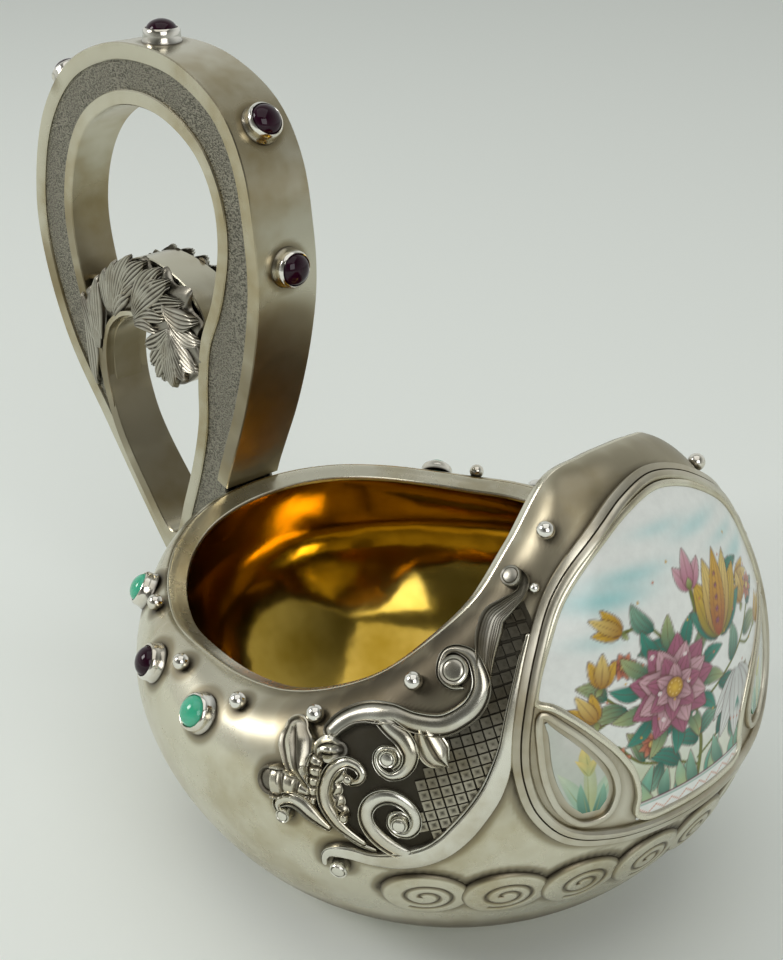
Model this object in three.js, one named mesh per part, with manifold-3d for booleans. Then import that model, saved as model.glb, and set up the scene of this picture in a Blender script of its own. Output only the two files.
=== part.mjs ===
// A silver kovsh: a round drinking bowl whose rim climbs to a tall prow, with a looped handle behind.
// The origin is the middle of the flat that the bowl stands on, +X points to the prow and +Z is up.
// Lengths are millimetres. A turn is an angle in degrees round the bowl, zero at the prow.

import * as THREE from 'three';
import { mergeVertices } from 'three/addons/utils/BufferGeometryUtils.js';
import Module from 'manifold-3d';

const wasm = await Module();
wasm.setup();

// The bowl: raised from one sheet, widest at the belly
const bowlFrontReach = 78;
const bowlBackReach = 87.5;
const bowlHalfWidth = 79;
const bellyHeight = 52;
const footRadius = 33;
const bowlWall = 2;
const lowerRoundness = 1.7;
const shoulderRoundness = 2;

// The mouth: low at the sides, tall at the prow, and drawn in from the belly all round
const prowInset = 30;
const mouthBackInset = 6.5;
const mouthSideInset = 15;
const prowReach = bowlFrontReach - prowInset;
const mouthBackReach = bowlBackReach - mouthBackInset;
const mouthHalfWidth = bowlHalfWidth - mouthSideInset;
const sideLipHeight = 70.5;
const prowHeight = 129;
const lipBandDepth = 5;
const lipBandThickness = 1.8;

// The room that a soldered or set piece keeps from what carries it
const seat = 0.3;

// The picture on the prow and its frame
const enamelThickness = 1.2;
const frameWidth = 4.2;
const frameRise = 2.6;
const dropFrameWidth = 2;
const dropFrameRise = 1.8;

// The scrollwork on the two flanks
const groundThickness = 0.6;
const borderRise = 2;
const scrollWidth = 5;
const scrollRise = 2.6;
const leafRise = 3.4;
const headEyeDiameter = 4.8;
const highEyeDiameter = 6.6;
const smallEyeDiameter = 3.9;
const eyeRise = 2.8;

// The running wave round the lower bowl
const waveBandThickness = 0.7;
const waveBandHeight = 14;
const waveRoom = 2;
const waveRadius = 5.8;
const waveEyeRadius = 1.5;
const waveRibWidth = 2;
const waveRise = 1.6;
const wavePitch = 19.3;
const waveCount = 8;

// The handle: a hollow loop of strap standing in the middle plane, wider towards the bowl
const handleLength = 96;
const handleHeight = 196;
const handleRootHalfWidth = 9.5;
const handleBackHalfWidth = 5.8;
const outerStrapThickness = 2.2;
const innerStrapThickness = 2.2;
const facePlateThickness = 1;
const facePlateRecess = 0.8;
const curlStrapThickness = 1.5;
const leafThickness = 2;

// The stones, the collets that hold them, and the beads
const bodyStoneDiameter = 7.6;
const bodyColletHeight = 3;
const handleStoneDiameter = 8.6;
const handleColletHeight = 3.6;
const colletWall = 1;
const colletFlare = 0.5;
const beadDiameter = 4.2;
const smallBeadDiameter = 2.4;
const frameBeadRoom = 2.1;

// How finely curves are cut
const bowlSides = 72;
const roundSides = 10;
const beadSides = 8;
const domeSteps = 3;
const beadSteps = 3;
const spiralStepsPerRound = 12;

const silver = { color: 0xbdb8a6, roughness: 0.3, metalness: 1 };
const darkSilver = { color: 0x5f5a4e, roughness: 0.5, metalness: 1 };
const enamel = { color: 0xe9ece8, roughness: 0.15, metalness: 0 };
const leafEnamel = { color: 0x9fb59a, roughness: 0.15, metalness: 0 };
const garnet = { color: 0x2a0d1c, roughness: 0.08, metalness: 0 };
const chrysoprase = { color: 0x2fa577, roughness: 0.15, metalness: 0 };

const kovsh = new THREE.Group();

function add(name, geometry, look) {
  const flat = geometry.index ? geometry : mergeVertices(geometry);
  flat.computeVertexNormals();
  const mesh = new THREE.Mesh(flat, new THREE.MeshStandardMaterial(look));
  mesh.name = name;
  kovsh.add(mesh);
  return mesh;
}

function signedVolume(points, faces) {
  let six = 0;
  for (let i = 0; i < faces.length; i += 3) {
    const [a, b, c] = [points[faces[i]], points[faces[i + 1]], points[faces[i + 2]]];
    six += a.dot(b.clone().cross(c));
  }
  return six;
}

function closedBody(points, faces) {
  const outward = signedVolume(points, faces) > 0 ? faces : faces.slice().reverse();
  const geometry = new THREE.BufferGeometry().setFromPoints(points);
  geometry.setIndex(outward);
  return geometry;
}

// Skins a row of rings that all have as many points. The row runs round into itself, or its two end
// rings are closed: a round one by a fan from its middle, a flat one by folding it shut.
function loft(rings, ends = 'folded') {
  const count = rings[0].length;
  const points = rings.flat();
  const faces = [];
  const rows = ends === 'endless' ? rings.length : rings.length - 1;
  for (let i = 0; i < rows; i += 1) {
    const next = (i + 1) % rings.length;
    for (let j = 0; j < count; j += 1) {
      const k = (j + 1) % count;
      const [a, b] = [i * count + j, i * count + k];
      const [c, d] = [next * count + k, next * count + j];
      faces.push(a, b, c, a, c, d);
    }
  }
  if (ends === 'endless') return closedBody(points, faces);
  for (const row of [0, rings.length - 1]) {
    const first = row * count;
    const cap = [];
    if (ends === 'fan') {
      const middle = new THREE.Vector3();
      rings[row].forEach((point) => middle.addScaledVector(point, 1 / count));
      points.push(middle);
      for (let j = 0; j < count; j += 1) cap.push(points.length - 1, first + j, first + (j + 1) % count);
    } else {
      for (let j = 0; j + 1 < count - 1 - j; j += 1) {
        const [a, b, c, d] = [first + j, first + j + 1, first + count - 2 - j, first + count - 1 - j];
        cap.push(a, b, d);
        if (b !== c) cap.push(b, c, d);
      }
    }
    faces.push(...(row === 0 ? cap.reverse() : cap));
  }
  return closedBody(points, faces);
}

function toSolid(geometry) {
  const bare = new THREE.BufferGeometry();
  bare.setAttribute('position', geometry.getAttribute('position').clone());
  bare.setIndex(geometry.index ? geometry.index.clone() : null);
  const merged = mergeVertices(bare);
  return new wasm.Manifold(new wasm.Mesh({
    numProp: 3,
    vertProperties: new Float32Array(merged.getAttribute('position').array),
    triVerts: new Uint32Array(merged.index.array),
  }));
}

function fromSolid(solid) {
  const mesh = solid.getMesh();
  const geometry = new THREE.BufferGeometry();
  geometry.setAttribute('position', new THREE.BufferAttribute(new Float32Array(mesh.vertProperties), 3));
  geometry.setIndex(new THREE.BufferAttribute(new Uint32Array(mesh.triVerts), 1));
  return geometry;
}

// The lip, in steps of ten degrees from the prow to the back: reach, half width and height as shares
const lipShares = [
  [1, 0, 1], [0.985, 0.132, 0.988], [0.947, 0.271, 0.937], [0.938, 0.426, 0.734],
  [0.912, 0.579, 0.544], [0.792, 0.722, 0.371], [0.625, 0.835, 0.221], [0.422, 0.92, 0.12],
  [0.209, 0.975, 0.053], [0, 0.997, 0.017], [-0.142, 1.004, 0.002], [-0.295, 0.995, 0.01],
  [-0.443, 0.955, 0.01], [-0.581, 0.87, 0.008], [-0.716, 0.753, 0.023], [-0.837, 0.6, 0.048],
  [-0.93, 0.414, 0.072], [-0.983, 0.211, 0.086], [-1, 0, 0.09],
];

function lipCorner([reachShare, widthShare, riseShare], side) {
  const reach = reachShare > 0 ? prowReach : mouthBackReach;
  return new THREE.Vector3(
    reachShare * reach,
    widthShare * side * mouthHalfWidth,
    sideLipHeight + riseShare * (prowHeight - sideLipHeight),
  );
}

const nearLip = lipShares.map((row) => lipCorner(row, 1));
const farLip = lipShares.slice(1, -1).reverse().map((row) => lipCorner(row, -1));
const lipCurve = new THREE.CatmullRomCurve3([...nearLip, ...farLip], true, 'catmullrom', 0.5);

function lipPoint(turn) {
  const share = turn / 360;
  return lipCurve.getPoint(share - Math.floor(share));
}

// A level runs from the foot, by the belly, to the lip
const footLevel = 0;
const bellyLevel = 1;
const lipLevel = 2;

function wallAtLevel(turn, level) {
  const angle = THREE.MathUtils.degToRad(turn);
  const reach = Math.cos(angle) > 0 ? bowlFrontReach : bowlBackReach;
  const belly = new THREE.Vector3(reach * Math.cos(angle), bowlHalfWidth * Math.sin(angle), bellyHeight);
  if (level <= bellyLevel) {
    const swing = level * Math.PI / 2;
    const out = Math.sin(swing) ** (2 / lowerRoundness);
    const fall = Math.max(Math.cos(swing), 0) ** (2 / lowerRoundness);
    const foot = new THREE.Vector3(footRadius * Math.cos(angle), footRadius * Math.sin(angle), 0);
    return foot.lerp(belly, out).setZ(bellyHeight * (1 - fall));
  }
  const swing = (level - bellyLevel) * Math.PI / 2;
  const out = Math.max(Math.cos(swing), 0) ** (2 / shoulderRoundness);
  const climb = Math.sin(swing) ** (2 / shoulderRoundness);
  const lip = lipPoint(turn);
  return lip.clone().lerp(belly, out).setZ(bellyHeight + climb * (lip.z - bellyHeight));
}

function levelOf(turn, height) {
  if (height <= bellyHeight) {
    const fall = 1 - height / bellyHeight;
    return Math.acos(fall ** (lowerRoundness / 2)) / (Math.PI / 2);
  }
  const climb = Math.min((height - bellyHeight) / (lipPoint(turn).z - bellyHeight), 1);
  return bellyLevel + Math.asin(climb ** (shoulderRoundness / 2)) / (Math.PI / 2);
}

const turnStep = 0.5;
const levelStep = 0.01;

function wallNormal(turn, level) {
  const low = Math.max(level - levelStep, footLevel + levelStep / 2);
  const high = Math.min(level + levelStep, lipLevel - levelStep / 2);
  const round = wallAtLevel(turn + turnStep, level).sub(wallAtLevel(turn - turnStep, level));
  const up = wallAtLevel(turn, high).sub(wallAtLevel(turn, low));
  return round.cross(up).normalize();
}

function liftedAtLevel(turn, level, lift) {
  return wallAtLevel(turn, level).addScaledVector(wallNormal(turn, level), lift);
}

function lifted(turn, height, lift) {
  return liftedAtLevel(turn, levelOf(turn, height), lift);
}

// The bowl shell: up the outside, over the lip and down the inside
const bowlLevels = [footLevel, 0.18, 0.38, 0.58, 0.78, 0.98, 1.18, 1.38, 1.56, 1.72, 1.86, lipLevel];
const insideLevels = [footLevel, 0.38, 0.78, 1.18, 1.56];

function bowlRing(level, lift, sides = bowlSides) {
  const ring = [];
  for (let i = 0; i < sides; i += 1) ring.push(liftedAtLevel(i * 360 / sides, level, lift));
  return ring;
}

const outerRings = bowlLevels.map((level) => bowlRing(level, 0));
const innerRings = insideLevels.map((level) => bowlRing(level, -bowlWall));
innerRings[0].forEach((point) => point.setZ(bowlWall));
innerRings.push(bowlRing(lipLevel, 0).map((point) => point.setZ(point.z - bowlWall)));
innerRings.reverse();
add('bowl', loft([...outerRings, ...innerRings], 'fan'), silver);

// A block that fills the bowl and stands a little proud of it, for cutting what meets the bowl
function bowlBlock(lift) {
  const rings = bowlLevels.map((level) => bowlRing(level, lift));
  rings[0].forEach((point) => point.setZ(-lift));
  return toSolid(loft(rings, 'fan'));
}

// The band that lines the lip: a strip standing against the edge of the sheet
function lipBand() {
  const rings = [];
  for (let i = 0; i < bowlSides; i += 1) {
    const turn = i * 360 / bowlSides;
    const lip = lipPoint(turn);
    const ahead = lipPoint(turn + turnStep).sub(lipPoint(turn - turnStep));
    const inward = new THREE.Vector3(-ahead.y, ahead.x, 0).normalize();
    const outer = lip.clone().addScaledVector(inward, seat);
    const inner = outer.clone().addScaledVector(inward, lipBandThickness);
    const low = (point) => point.clone().setZ(point.z - lipBandDepth);
    rings.push([outer, inner, low(inner), low(outer)]);
  }
  return loft(rings, 'endless');
}
add('lip_band', lipBand(), silver);

// Places on the wall are a turn in degrees, a share of the lip's height at that turn and, where a
// strip narrows or swells, a share of its full width
function heightAt([turn, share]) {
  return share * lipPoint(turn).z;
}

function wallPath(places, side, closed = false) {
  const corners = places.map(([turn, share, widthShare = 1]) => (
    new THREE.Vector3(side * turn, heightAt([turn, share]), widthShare)
  ));
  return new THREE.CatmullRomCurve3(corners, closed, 'centripetal');
}

// The spot on the wall at a distance from another one. The way is in degrees: zero runs on round the
// bowl, and a quarter turn runs up.
function spotBeside({ turn, height }, way, distance) {
  const heightStep = bowlWall / 2;
  const perDegree = lifted(turn + turnStep, height, 0)
    .distanceTo(lifted(turn - turnStep, height, 0)) / (2 * turnStep);
  const perHeight = lifted(turn, height + heightStep, 0)
    .distanceTo(lifted(turn, height - heightStep, 0)) / (2 * heightStep);
  const angle = THREE.MathUtils.degToRad(way);
  return {
    turn: turn + distance * Math.cos(angle) / perDegree,
    height: height + distance * Math.sin(angle) / perHeight,
  };
}

function spotOf(place) {
  return { turn: place[0], height: heightAt(place) };
}

const flatSectionShares = [[1, 0], [0.8, 1], [-0.8, 1], [-1, 0]];
const roundSectionShares = [[1, 0], [0.8, 0.7], [0, 1], [-0.8, 0.7], [-1, 0]];
const ridgeSectionShares = [[1, 0], [0, 1], [-1, 0]];
const thinRiseShare = 0.5;

// A strip soldered along a path on the wall, with its foot on the sheet and its back raised. Where it
// is thin it is lower too.
function strip(path, steps, { width, rise, section = roundSectionShares, closed = false, lift = seat }) {
  const places = path.getSpacedPoints(steps);
  if (closed) places.pop();
  const at = (i) => places[closed ? (i + places.length) % places.length
    : Math.min(Math.max(i, 0), places.length - 1)];
  const rings = places.map((place, i) => {
    const [before, after] = [at(i - 1), at(i + 1)];
    const level = levelOf(place.x, place.y);
    const normal = wallNormal(place.x, level);
    const along = lifted(after.x, after.y, 0).sub(lifted(before.x, before.y, 0)).normalize();
    const across = normal.clone().cross(along).normalize();
    const high = rise * THREE.MathUtils.lerp(thinRiseShare, 1, Math.min(place.z, 1));
    const foot = liftedAtLevel(place.x, level, lift);
    return section.map(([acrossShare, riseShare]) => foot.clone()
      .addScaledVector(across, acrossShare * place.z * width / 2)
      .addScaledVector(normal, riseShare * high));
  });
  return loft(rings, closed ? 'endless' : 'folded');
}

// Sets a turned piece on a surface, with its axis along the surface's normal
function setOn(geometry, foot, normal) {
  const place = new THREE.Matrix4().makeRotationFromQuaternion(
    new THREE.Quaternion().setFromUnitVectors(new THREE.Vector3(0, 1, 0), normal),
  ).setPosition(foot.clone().addScaledVector(normal, seat));
  return geometry.applyMatrix4(place);
}

// The round eye at the middle of a volute: a low button with a rounded edge, soldered against the end
// of its strip
const eyeShoulderShare = 0.7;
const eyeTopShare = 0.75;

function eye({ end, way, reachShare, diameter }, side) {
  const radius = diameter / 2;
  const button = new THREE.LatheGeometry([
    new THREE.Vector2(0, 0),
    new THREE.Vector2(radius, 0),
    new THREE.Vector2(radius, eyeShoulderShare * eyeRise),
    new THREE.Vector2(eyeTopShare * radius, eyeRise),
    new THREE.Vector2(0, eyeRise),
  ], roundSides);
  const { turn, height } = spotBeside(spotOf(end), way, reachShare * radius);
  const level = levelOf(side * turn, height);
  return setOn(button, wallAtLevel(side * turn, level), wallNormal(side * turn, level));
}

// A thin plate on the wall, given row by row: the places of the row's two ends
function wallPlate(rows, side, { lift, thickness, columns }) {
  const plateRing = ([from, fromShare, to, toShare], depth) => {
    const [fromHeight, toHeight] = [heightAt([from, fromShare]), heightAt([to, toShare])];
    const ring = [];
    for (let i = 0; i <= columns; i += 1) {
      const turn = THREE.MathUtils.lerp(from, to, i / columns);
      ring.push(lifted(side * turn, THREE.MathUtils.lerp(fromHeight, toHeight, i / columns), depth));
    }
    return ring;
  };
  return loft(rows.map((row) => [
    ...plateRing(row, lift),
    ...plateRing(row, lift + thickness).reverse(),
  ]));
}

// The picture: an onion-shaped plate of enamel on the breast of the prow
const pictureRowShares = [
  [-14.5, 0.4185, 14.5, 0.4185], [-13, 0.454, 13, 0.454], [-13.5, 0.5007, 13.5, 0.5007],
  [-16.5, 0.5511, 16.5, 0.5511], [-21, 0.6104, 21, 0.6104], [-26, 0.692, 26, 0.692],
  [-28, 0.7791, 28, 0.7791], [-26.8, 0.8344, 26.8, 0.8344], [-24, 0.8581, 24, 0.8581],
  [-19.5, 0.8756, 19.5, 0.8756], [-14, 0.9001, 14, 0.9001], [-3, 0.9303, 3, 0.9303],
];
const pictureColumns = 12;
add('picture_enamel', wallPlate(pictureRowShares, 1, {
  lift: seat, thickness: enamelThickness, columns: pictureColumns,
}), enamel);

// The frame runs round the picture and the two drops as one closed strip
const frameHalfShares = [
  [0, 0.964], [10, 0.9502], [20, 0.9141], [26.5, 0.8973], [30.5, 0.8458], [32.8, 0.7723], [33.8, 0.6975],
  [33.4, 0.624], [31, 0.5319], [26, 0.4461], [18, 0.3926], [8, 0.3771],
];
const frameShares = [
  ...frameHalfShares,
  ...frameHalfShares.slice(1).reverse().map(([turn, share]) => [-turn, share]),
];
const frameSteps = 76;
const framePath = wallPath(frameShares, 1, true);
add('picture_frame', strip(framePath, frameSteps, {
  width: frameWidth, rise: frameRise, section: flatSectionShares, closed: true,
}), silver);

// A drop on each side under the picture: an enamel leaf spray in a narrow frame of its own
const dropFrameShares = [
  [30.2, 0.7293], [26, 0.6659], [21.8, 0.5944], [18.4, 0.531], [17.4, 0.4782], [19.4, 0.4422],
  [23.4, 0.4518], [27, 0.5018], [29.4, 0.5707], [30.6, 0.6521],
];
const dropRowShares = [
  [20.6, 0.4629, 23.6, 0.475], [19.2, 0.4817, 25.8, 0.5102], [19.2, 0.5125, 27.4, 0.5527],
  [20.6, 0.5477, 28.4, 0.5925], [22.8, 0.5892, 28.9, 0.6295], [25.6, 0.6391, 29.1, 0.6646],
  [27.8, 0.6774, 29.1, 0.6872],
];

// The matted ground plate inside the flank
const groundRowShares = [
  [46.6, 0.6078, 47.8, 0.6155], [42.8, 0.636, 49.6, 0.6827], [40.6, 0.6723, 49.6, 0.7385],
  [38.8, 0.7097, 42.6, 0.7383], [37.6, 0.7501, 40.4, 0.7722], [36.2, 0.7878, 38.2, 0.8043],
  [34.8, 0.8242, 36.2, 0.8362], [33.2, 0.8577, 35, 0.8738], [31.8, 0.8916, 32.8, 0.901],
];

// The strips of the scrollwork, each along its middle line with its width as a share of the full width
const stemShares = [
  [30.4, 0.9614, 0.4], [31.2, 0.9497, 0.42], [34.4, 0.954, 0.72], [36.9, 0.9571, 0.96],
  [38.2, 0.9416, 0.88], [38.8, 0.9239, 0.7], [39.2, 0.9002, 0.5], [39.6, 0.8713, 0.4],
  [40.4, 0.8482, 0.4],
];
const sweepShares = [
  [46.7, 0.9519, 0.26], [46.1, 0.9674, 0.32], [43.8, 0.9602, 0.34], [41.4, 0.9325, 0.5],
  [40.4, 0.9039, 0.6], [39.9, 0.8652, 0.78], [41.2, 0.8387, 0.88], [43.6, 0.8325, 0.9],
  [46.4, 0.8384, 0.92], [50.6, 0.8728, 0.84], [54.6, 0.9142, 0.8], [57, 0.9291, 0.92],
  [59.7, 0.9422, 0.88], [62.4, 0.945, 0.8], [64.4, 0.9372, 0.78], [65.7, 0.925, 0.7],
];
const lowVoluteShares = [
  [56.4, 0.9161, 0.5], [54.7, 0.8887, 0.5], [52.6, 0.8523, 0.58], [51.5, 0.817, 0.54],
  [51.4, 0.7949, 0.5], [52, 0.7784, 0.46], [53.2, 0.7709, 0.36], [54.8, 0.7764, 0.28],
  [56.3, 0.7987, 0.26], [57.1, 0.8231, 0.25], [57.1, 0.8412, 0.25], [56.3, 0.8495, 0.24],
  [55.2, 0.8445, 0.24],
];
const petalShares = [
  [49.2, 0.8492, 0.8], [47.9, 0.8023, 1.2], [47.1, 0.7739, 1.1], [45.6, 0.7445, 0.3],
];
const borderShares = [
  [36.6, 0.7119, 0.3], [37.2, 0.6735, 0.7], [38.6, 0.6337, 0.96], [41, 0.5962, 1.15],
  [43.3, 0.5676, 1.2], [45.7, 0.5446, 1.08], [48.4, 0.5326, 1.06], [51.4, 0.5309, 1.04],
  [54.4, 0.5359, 0.88], [57.6, 0.5489, 0.66], [61.2, 0.5749, 0.66], [63.4, 0.5804, 0.6],
  [65, 0.576, 0.44], [66, 0.5542, 0.3], [66.2, 0.529, 0.24],
];
const bottomVoluteShares = [
  [51.8, 0.5502, 0.6], [54, 0.5789, 0.7], [56.5, 0.6238, 0.7], [58.1, 0.6701, 0.66],
  [58.3, 0.7033, 0.64], [57.4, 0.7244, 0.66], [55.8, 0.7294, 0.66], [54.1, 0.7197, 0.62],
  [52.3, 0.6963, 0.56], [50.9, 0.6651, 0.54], [50.3, 0.6357, 0.5], [50.6, 0.6138, 0.44],
  [51.7, 0.6051, 0.36], [53.2, 0.6147, 0.26], [54.4, 0.6399, 0.24], [54.6, 0.6588, 0.22],
];
const cScrollShares = [
  [61, 0.786, 0.22], [59.8, 0.7872, 0.24], [59.3, 0.8021, 0.3], [60.2, 0.8256, 0.32], [62, 0.8429, 0.36],
  [63.5, 0.8418, 0.4], [64.8, 0.8275, 0.4], [65.5, 0.801, 0.4], [65.7, 0.7714, 0.42],
  [65.2, 0.738, 0.46], [64.2, 0.707, 0.48], [62.9, 0.6747, 0.44], [61, 0.641, 0.36], [58.8, 0.6072, 0.3],
];
const lobeShares = [
  [
    [67.4, 0.8639, 0.3], [66.9, 0.8822, 0.66], [65.4, 0.8827, 0.95], [63.8, 0.8756, 0.5],
  ],
  [
    [67.8, 0.7776, 0.3], [69.4, 0.8106, 0.4], [70.8, 0.8479, 1.05], [71.6, 0.8873, 1.5],
    [72.3, 0.9214, 1.45], [73, 0.9522, 0.6],
  ],
  [
    [67.8, 0.7678, 0.3], [69.4, 0.7825, 0.4], [70.8, 0.7927, 0.7], [72.6, 0.7996, 0.96],
    [74.6, 0.8015, 1], [76.2, 0.8029, 0.6],
  ],
  [
    [67.3, 0.7031, 0.4], [68.3, 0.7275, 0.6], [70.2, 0.7515, 0.5], [72.1, 0.7551, 0.7], [73, 0.7353, 1],
    [72.6, 0.7066, 0.6],
  ],
  [
    [67.3, 0.7063, 0.24], [67.5, 0.7564, 0.28], [67.6, 0.793, 0.36], [67.5, 0.8235, 0.42],
    [67.6, 0.8519, 0.5], [67.2, 0.8693, 0.5],
  ],
];

// The eyes, each beside the end of the strip that it closes
const headEye = { end: stemShares[0], way: -8.6, reachShare: 1.047, diameter: headEyeDiameter };
const highEye = { end: sweepShares[0], way: 180, reachShare: 1.01, diameter: highEyeDiameter };
const lowEye = { end: lowVoluteShares.at(-1), way: -97.2, reachShare: 1.077, diameter: smallEyeDiameter };
const bottomEye = {
  end: bottomVoluteShares.at(-1), way: 189.5, reachShare: 1.205, diameter: smallEyeDiameter,
};

const dropSteps = 30;
const dropColumns = 3;
const groundColumns = 2;
const scrollSteps = {
  border: 24, bottomVolute: 24, stem: 16, sweep: 30, lowVolute: 18, petal: 4, c: 22, lobe: 6,
};

function fuse(...pieces) {
  return fromSolid(pieces.map(toSolid).reduce((whole, piece) => whole.add(piece)));
}

for (const [handName, side] of [['left', 1], ['right', -1]]) {
  const along = (shares, steps, rise = scrollRise) => (
    strip(wallPath(shares, side), steps, { width: scrollWidth, rise })
  );
  add(`drop_frame_${handName}`, strip(wallPath(dropFrameShares, side, true), dropSteps, {
    width: dropFrameWidth, rise: dropFrameRise, section: flatSectionShares, closed: true,
  }), silver);
  add(`drop_enamel_${handName}`, wallPlate(dropRowShares, side, {
    lift: seat, thickness: enamelThickness, columns: dropColumns,
  }), leafEnamel);
  add(`flank_ground_${handName}`, wallPlate(groundRowShares, side, {
    lift: seat, thickness: groundThickness, columns: groundColumns,
  }), darkSilver);

  // The border leaves the frame, runs under the scrolls and turns up into the bottom volute
  add(`border_scroll_${handName}`, fuse(
    along(borderShares, scrollSteps.border, borderRise),
    along(bottomVoluteShares, scrollSteps.bottomVolute),
    eye(bottomEye, side),
  ), silver);

  // The front scroll: a stem from the prow, a sweep that turns over into a volute, a second volute
  // under it, and a petal between the two
  add(`front_scroll_${handName}`, fuse(
    along(stemShares, scrollSteps.stem),
    along(sweepShares, scrollSteps.sweep),
    along(lowVoluteShares, scrollSteps.lowVolute),
    along(petalShares, scrollSteps.petal),
    eye(headEye, side),
    eye(highEye, side),
    eye(lowEye, side),
  ), silver);
  add(`c_scroll_${handName}`, along(cScrollShares, scrollSteps.c), silver);
  add(`shell_leaf_${handName}`, fuse(
    ...lobeShares.map((shares) => along(shares, scrollSteps.lobe, leafRise)),
  ), silver);
}

// The wave: a thin band with a spiral rib for each roller, all one casting. It runs under the frame
// and the borders of the flanks.
const rollerStretchShare = 1.5;
const rollerWindShare = 0.7;
const rollerRounds = 1.5;
const rollerSteps = 13;
const stepsPerRoller = 3;
const turnOf = (length) => THREE.MathUtils.radToDeg(length / bowlHalfWidth);
const waveTurn = turnOf(wavePitch);
const turnAtWaveEnd = waveCount * waveTurn / 2;
const lowEdge = (path, width) => Math.min(...path.points
  .filter((corner) => Math.abs(corner.x) < turnAtWaveEnd)
  .map((corner) => corner.y - corner.z * width / 2));
const waveTop = Math.min(
  lowEdge(framePath, frameWidth),
  lowEdge(wallPath(borderShares, 1), scrollWidth),
) - waveRoom;
const waveLevel = waveTop - waveBandHeight / 2;

// Each roller winds in from its outer radius to its eye, and is wider than it is high
function rollerPath(turn) {
  const steps = rollerRounds * spiralStepsPerRound;
  const places = [];
  for (let i = 0; i <= steps; i += 1) {
    const angle = Math.PI / 2 + 2 * Math.PI * rollerRounds * i / steps;
    const reach = THREE.MathUtils.lerp(waveRadius, waveEyeRadius, (i / steps) ** rollerWindShare);
    places.push(new THREE.Vector3(
      turn + turnOf(rollerStretchShare * reach * Math.cos(angle)),
      waveLevel + reach * Math.sin(angle),
      1,
    ));
  }
  return new THREE.CatmullRomCurve3(places, false, 'centripetal');
}

function waveBand() {
  const half = waveBandHeight / 2;
  const steps = stepsPerRoller * waveCount;
  const rings = [];
  for (let i = 0; i <= steps; i += 1) {
    const turn = THREE.MathUtils.lerp(-turnAtWaveEnd, turnAtWaveEnd, i / steps);
    const under = [-half, 0, half].map((step) => lifted(turn, waveLevel + step, seat));
    const over = [half, 0, -half].map((step) => lifted(turn, waveLevel + step, seat + waveBandThickness));
    rings.push([...under, ...over]);
  }
  const pieces = [loft(rings)];
  for (let i = 0; i < waveCount; i += 1) {
    const turn = (i - (waveCount - 1) / 2) * waveTurn;
    pieces.push(strip(rollerPath(turn), rollerSteps, {
      width: waveRibWidth, rise: waveRise, section: ridgeSectionShares, lift: seat + waveBandThickness / 2,
    }));
  }
  return fuse(...pieces);
}
add('wave_band', waveBand(), silver);

// The handle lies in the middle plane. Its outlines are shares of its length behind the back of the
// mouth and of its height.
const outerHandleShares = [
  [0.0099, 0.388], [-0.003, 0.406], [-0.0334, 0.442], [-0.0933, 0.514], [-0.1523, 0.612],
  [-0.1818, 0.704], [-0.1726, 0.783], [-0.1321, 0.8755], [-0.0399, 0.942], [0.139, 0.987], [0.3326, 1],
  [0.5446, 0.988], [0.764, 0.94], [0.9262, 0.8475], [1, 0.715], [0.9723, 0.62], [0.8625, 0.501],
  [0.6729, 0.393], [0.4812, 0.287], [0.3233, 0.209], [0.1777, 0.168], [0.032, 0.158], [-0.0731, 0.158],
];
const openingShares = [
  [0.3021, 0.263], [0.2417, 0.3296], [0.1803, 0.406], [0.1417, 0.4765], [0.1334, 0.541],
  [0.1095, 0.6046], [0.0438, 0.6724], [0.0044, 0.755], [0.021, 0.817], [0.0885, 0.868], [0.2182, 0.903],
  [0.3528, 0.9138], [0.5145, 0.9005], [0.6563, 0.8597], [0.7448, 0.796], [0.7813, 0.714],
  [0.7448, 0.617], [0.6875, 0.551], [0.6405, 0.4847], [0.5759, 0.3995], [0.4343, 0.3122],
  [0.3385, 0.2653],
];
const curlShares = [
  [0.8341, 0.6], [0.6607, 0.634], [0.5483, 0.665], [0.41, 0.688], [0.2902, 0.682], [0.1795, 0.662],
  [0.1187, 0.63], [0.1058, 0.59], [0.1519, 0.545], [0.2625, 0.512], [0.3584, 0.52], [0.3879, 0.553],
  [0.3953, 0.582], [0.4653, 0.588], [0.552, 0.57], [0.6312, 0.534], [0.6866, 0.5], [0.8341, 0.5],
];
const leafShares = [
  [0.7566, 0.596], [0.7087, 0.612], [0.6902, 0.604], [0.6607, 0.636], [0.6128, 0.632], [0.5483, 0.668],
  [0.5022, 0.655], [0.41, 0.691], [0.3639, 0.674], [0.2902, 0.688], [0.2625, 0.668], [0.174, 0.668],
  [0.1758, 0.64], [0.1187, 0.624], [0.1427, 0.6], [0.1113, 0.57], [0.1814, 0.532], [0.2717, 0.51],
  [0.3621, 0.52], [0.3879, 0.553], [0.3731, 0.582], [0.4284, 0.6], [0.5114, 0.592], [0.5852, 0.568],
  [0.6312, 0.566], [0.6423, 0.536], [0.6718, 0.505], [0.7161, 0.53], [0.7345, 0.566],
];

function handleOutline(shares, steps, closed) {
  const corners = shares.map(([reachShare, heightShare]) => (
    new THREE.Vector3(-mouthBackReach - reachShare * handleLength, heightShare * handleHeight, 0)
  ));
  const curve = new THREE.CatmullRomCurve3(corners, closed, 'centripetal');
  const places = curve.getSpacedPoints(steps).map((point) => new THREE.Vector2(point.x, point.y));
  if (closed) places.pop();
  return places;
}

// Moves an outline sideways, to the right of the way it runs
function offsetOutline(places, distance, closed) {
  const last = places.length - 1;
  return places.map((place, i) => {
    const before = places[closed ? (i + last) % places.length : Math.max(i - 1, 0)];
    const after = places[closed ? (i + 1) % places.length : Math.min(i + 1, last)];
    const along = after.clone().sub(before).normalize();
    return new THREE.Vector2(place.x + along.y * distance, place.y - along.x * distance);
  });
}

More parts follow.
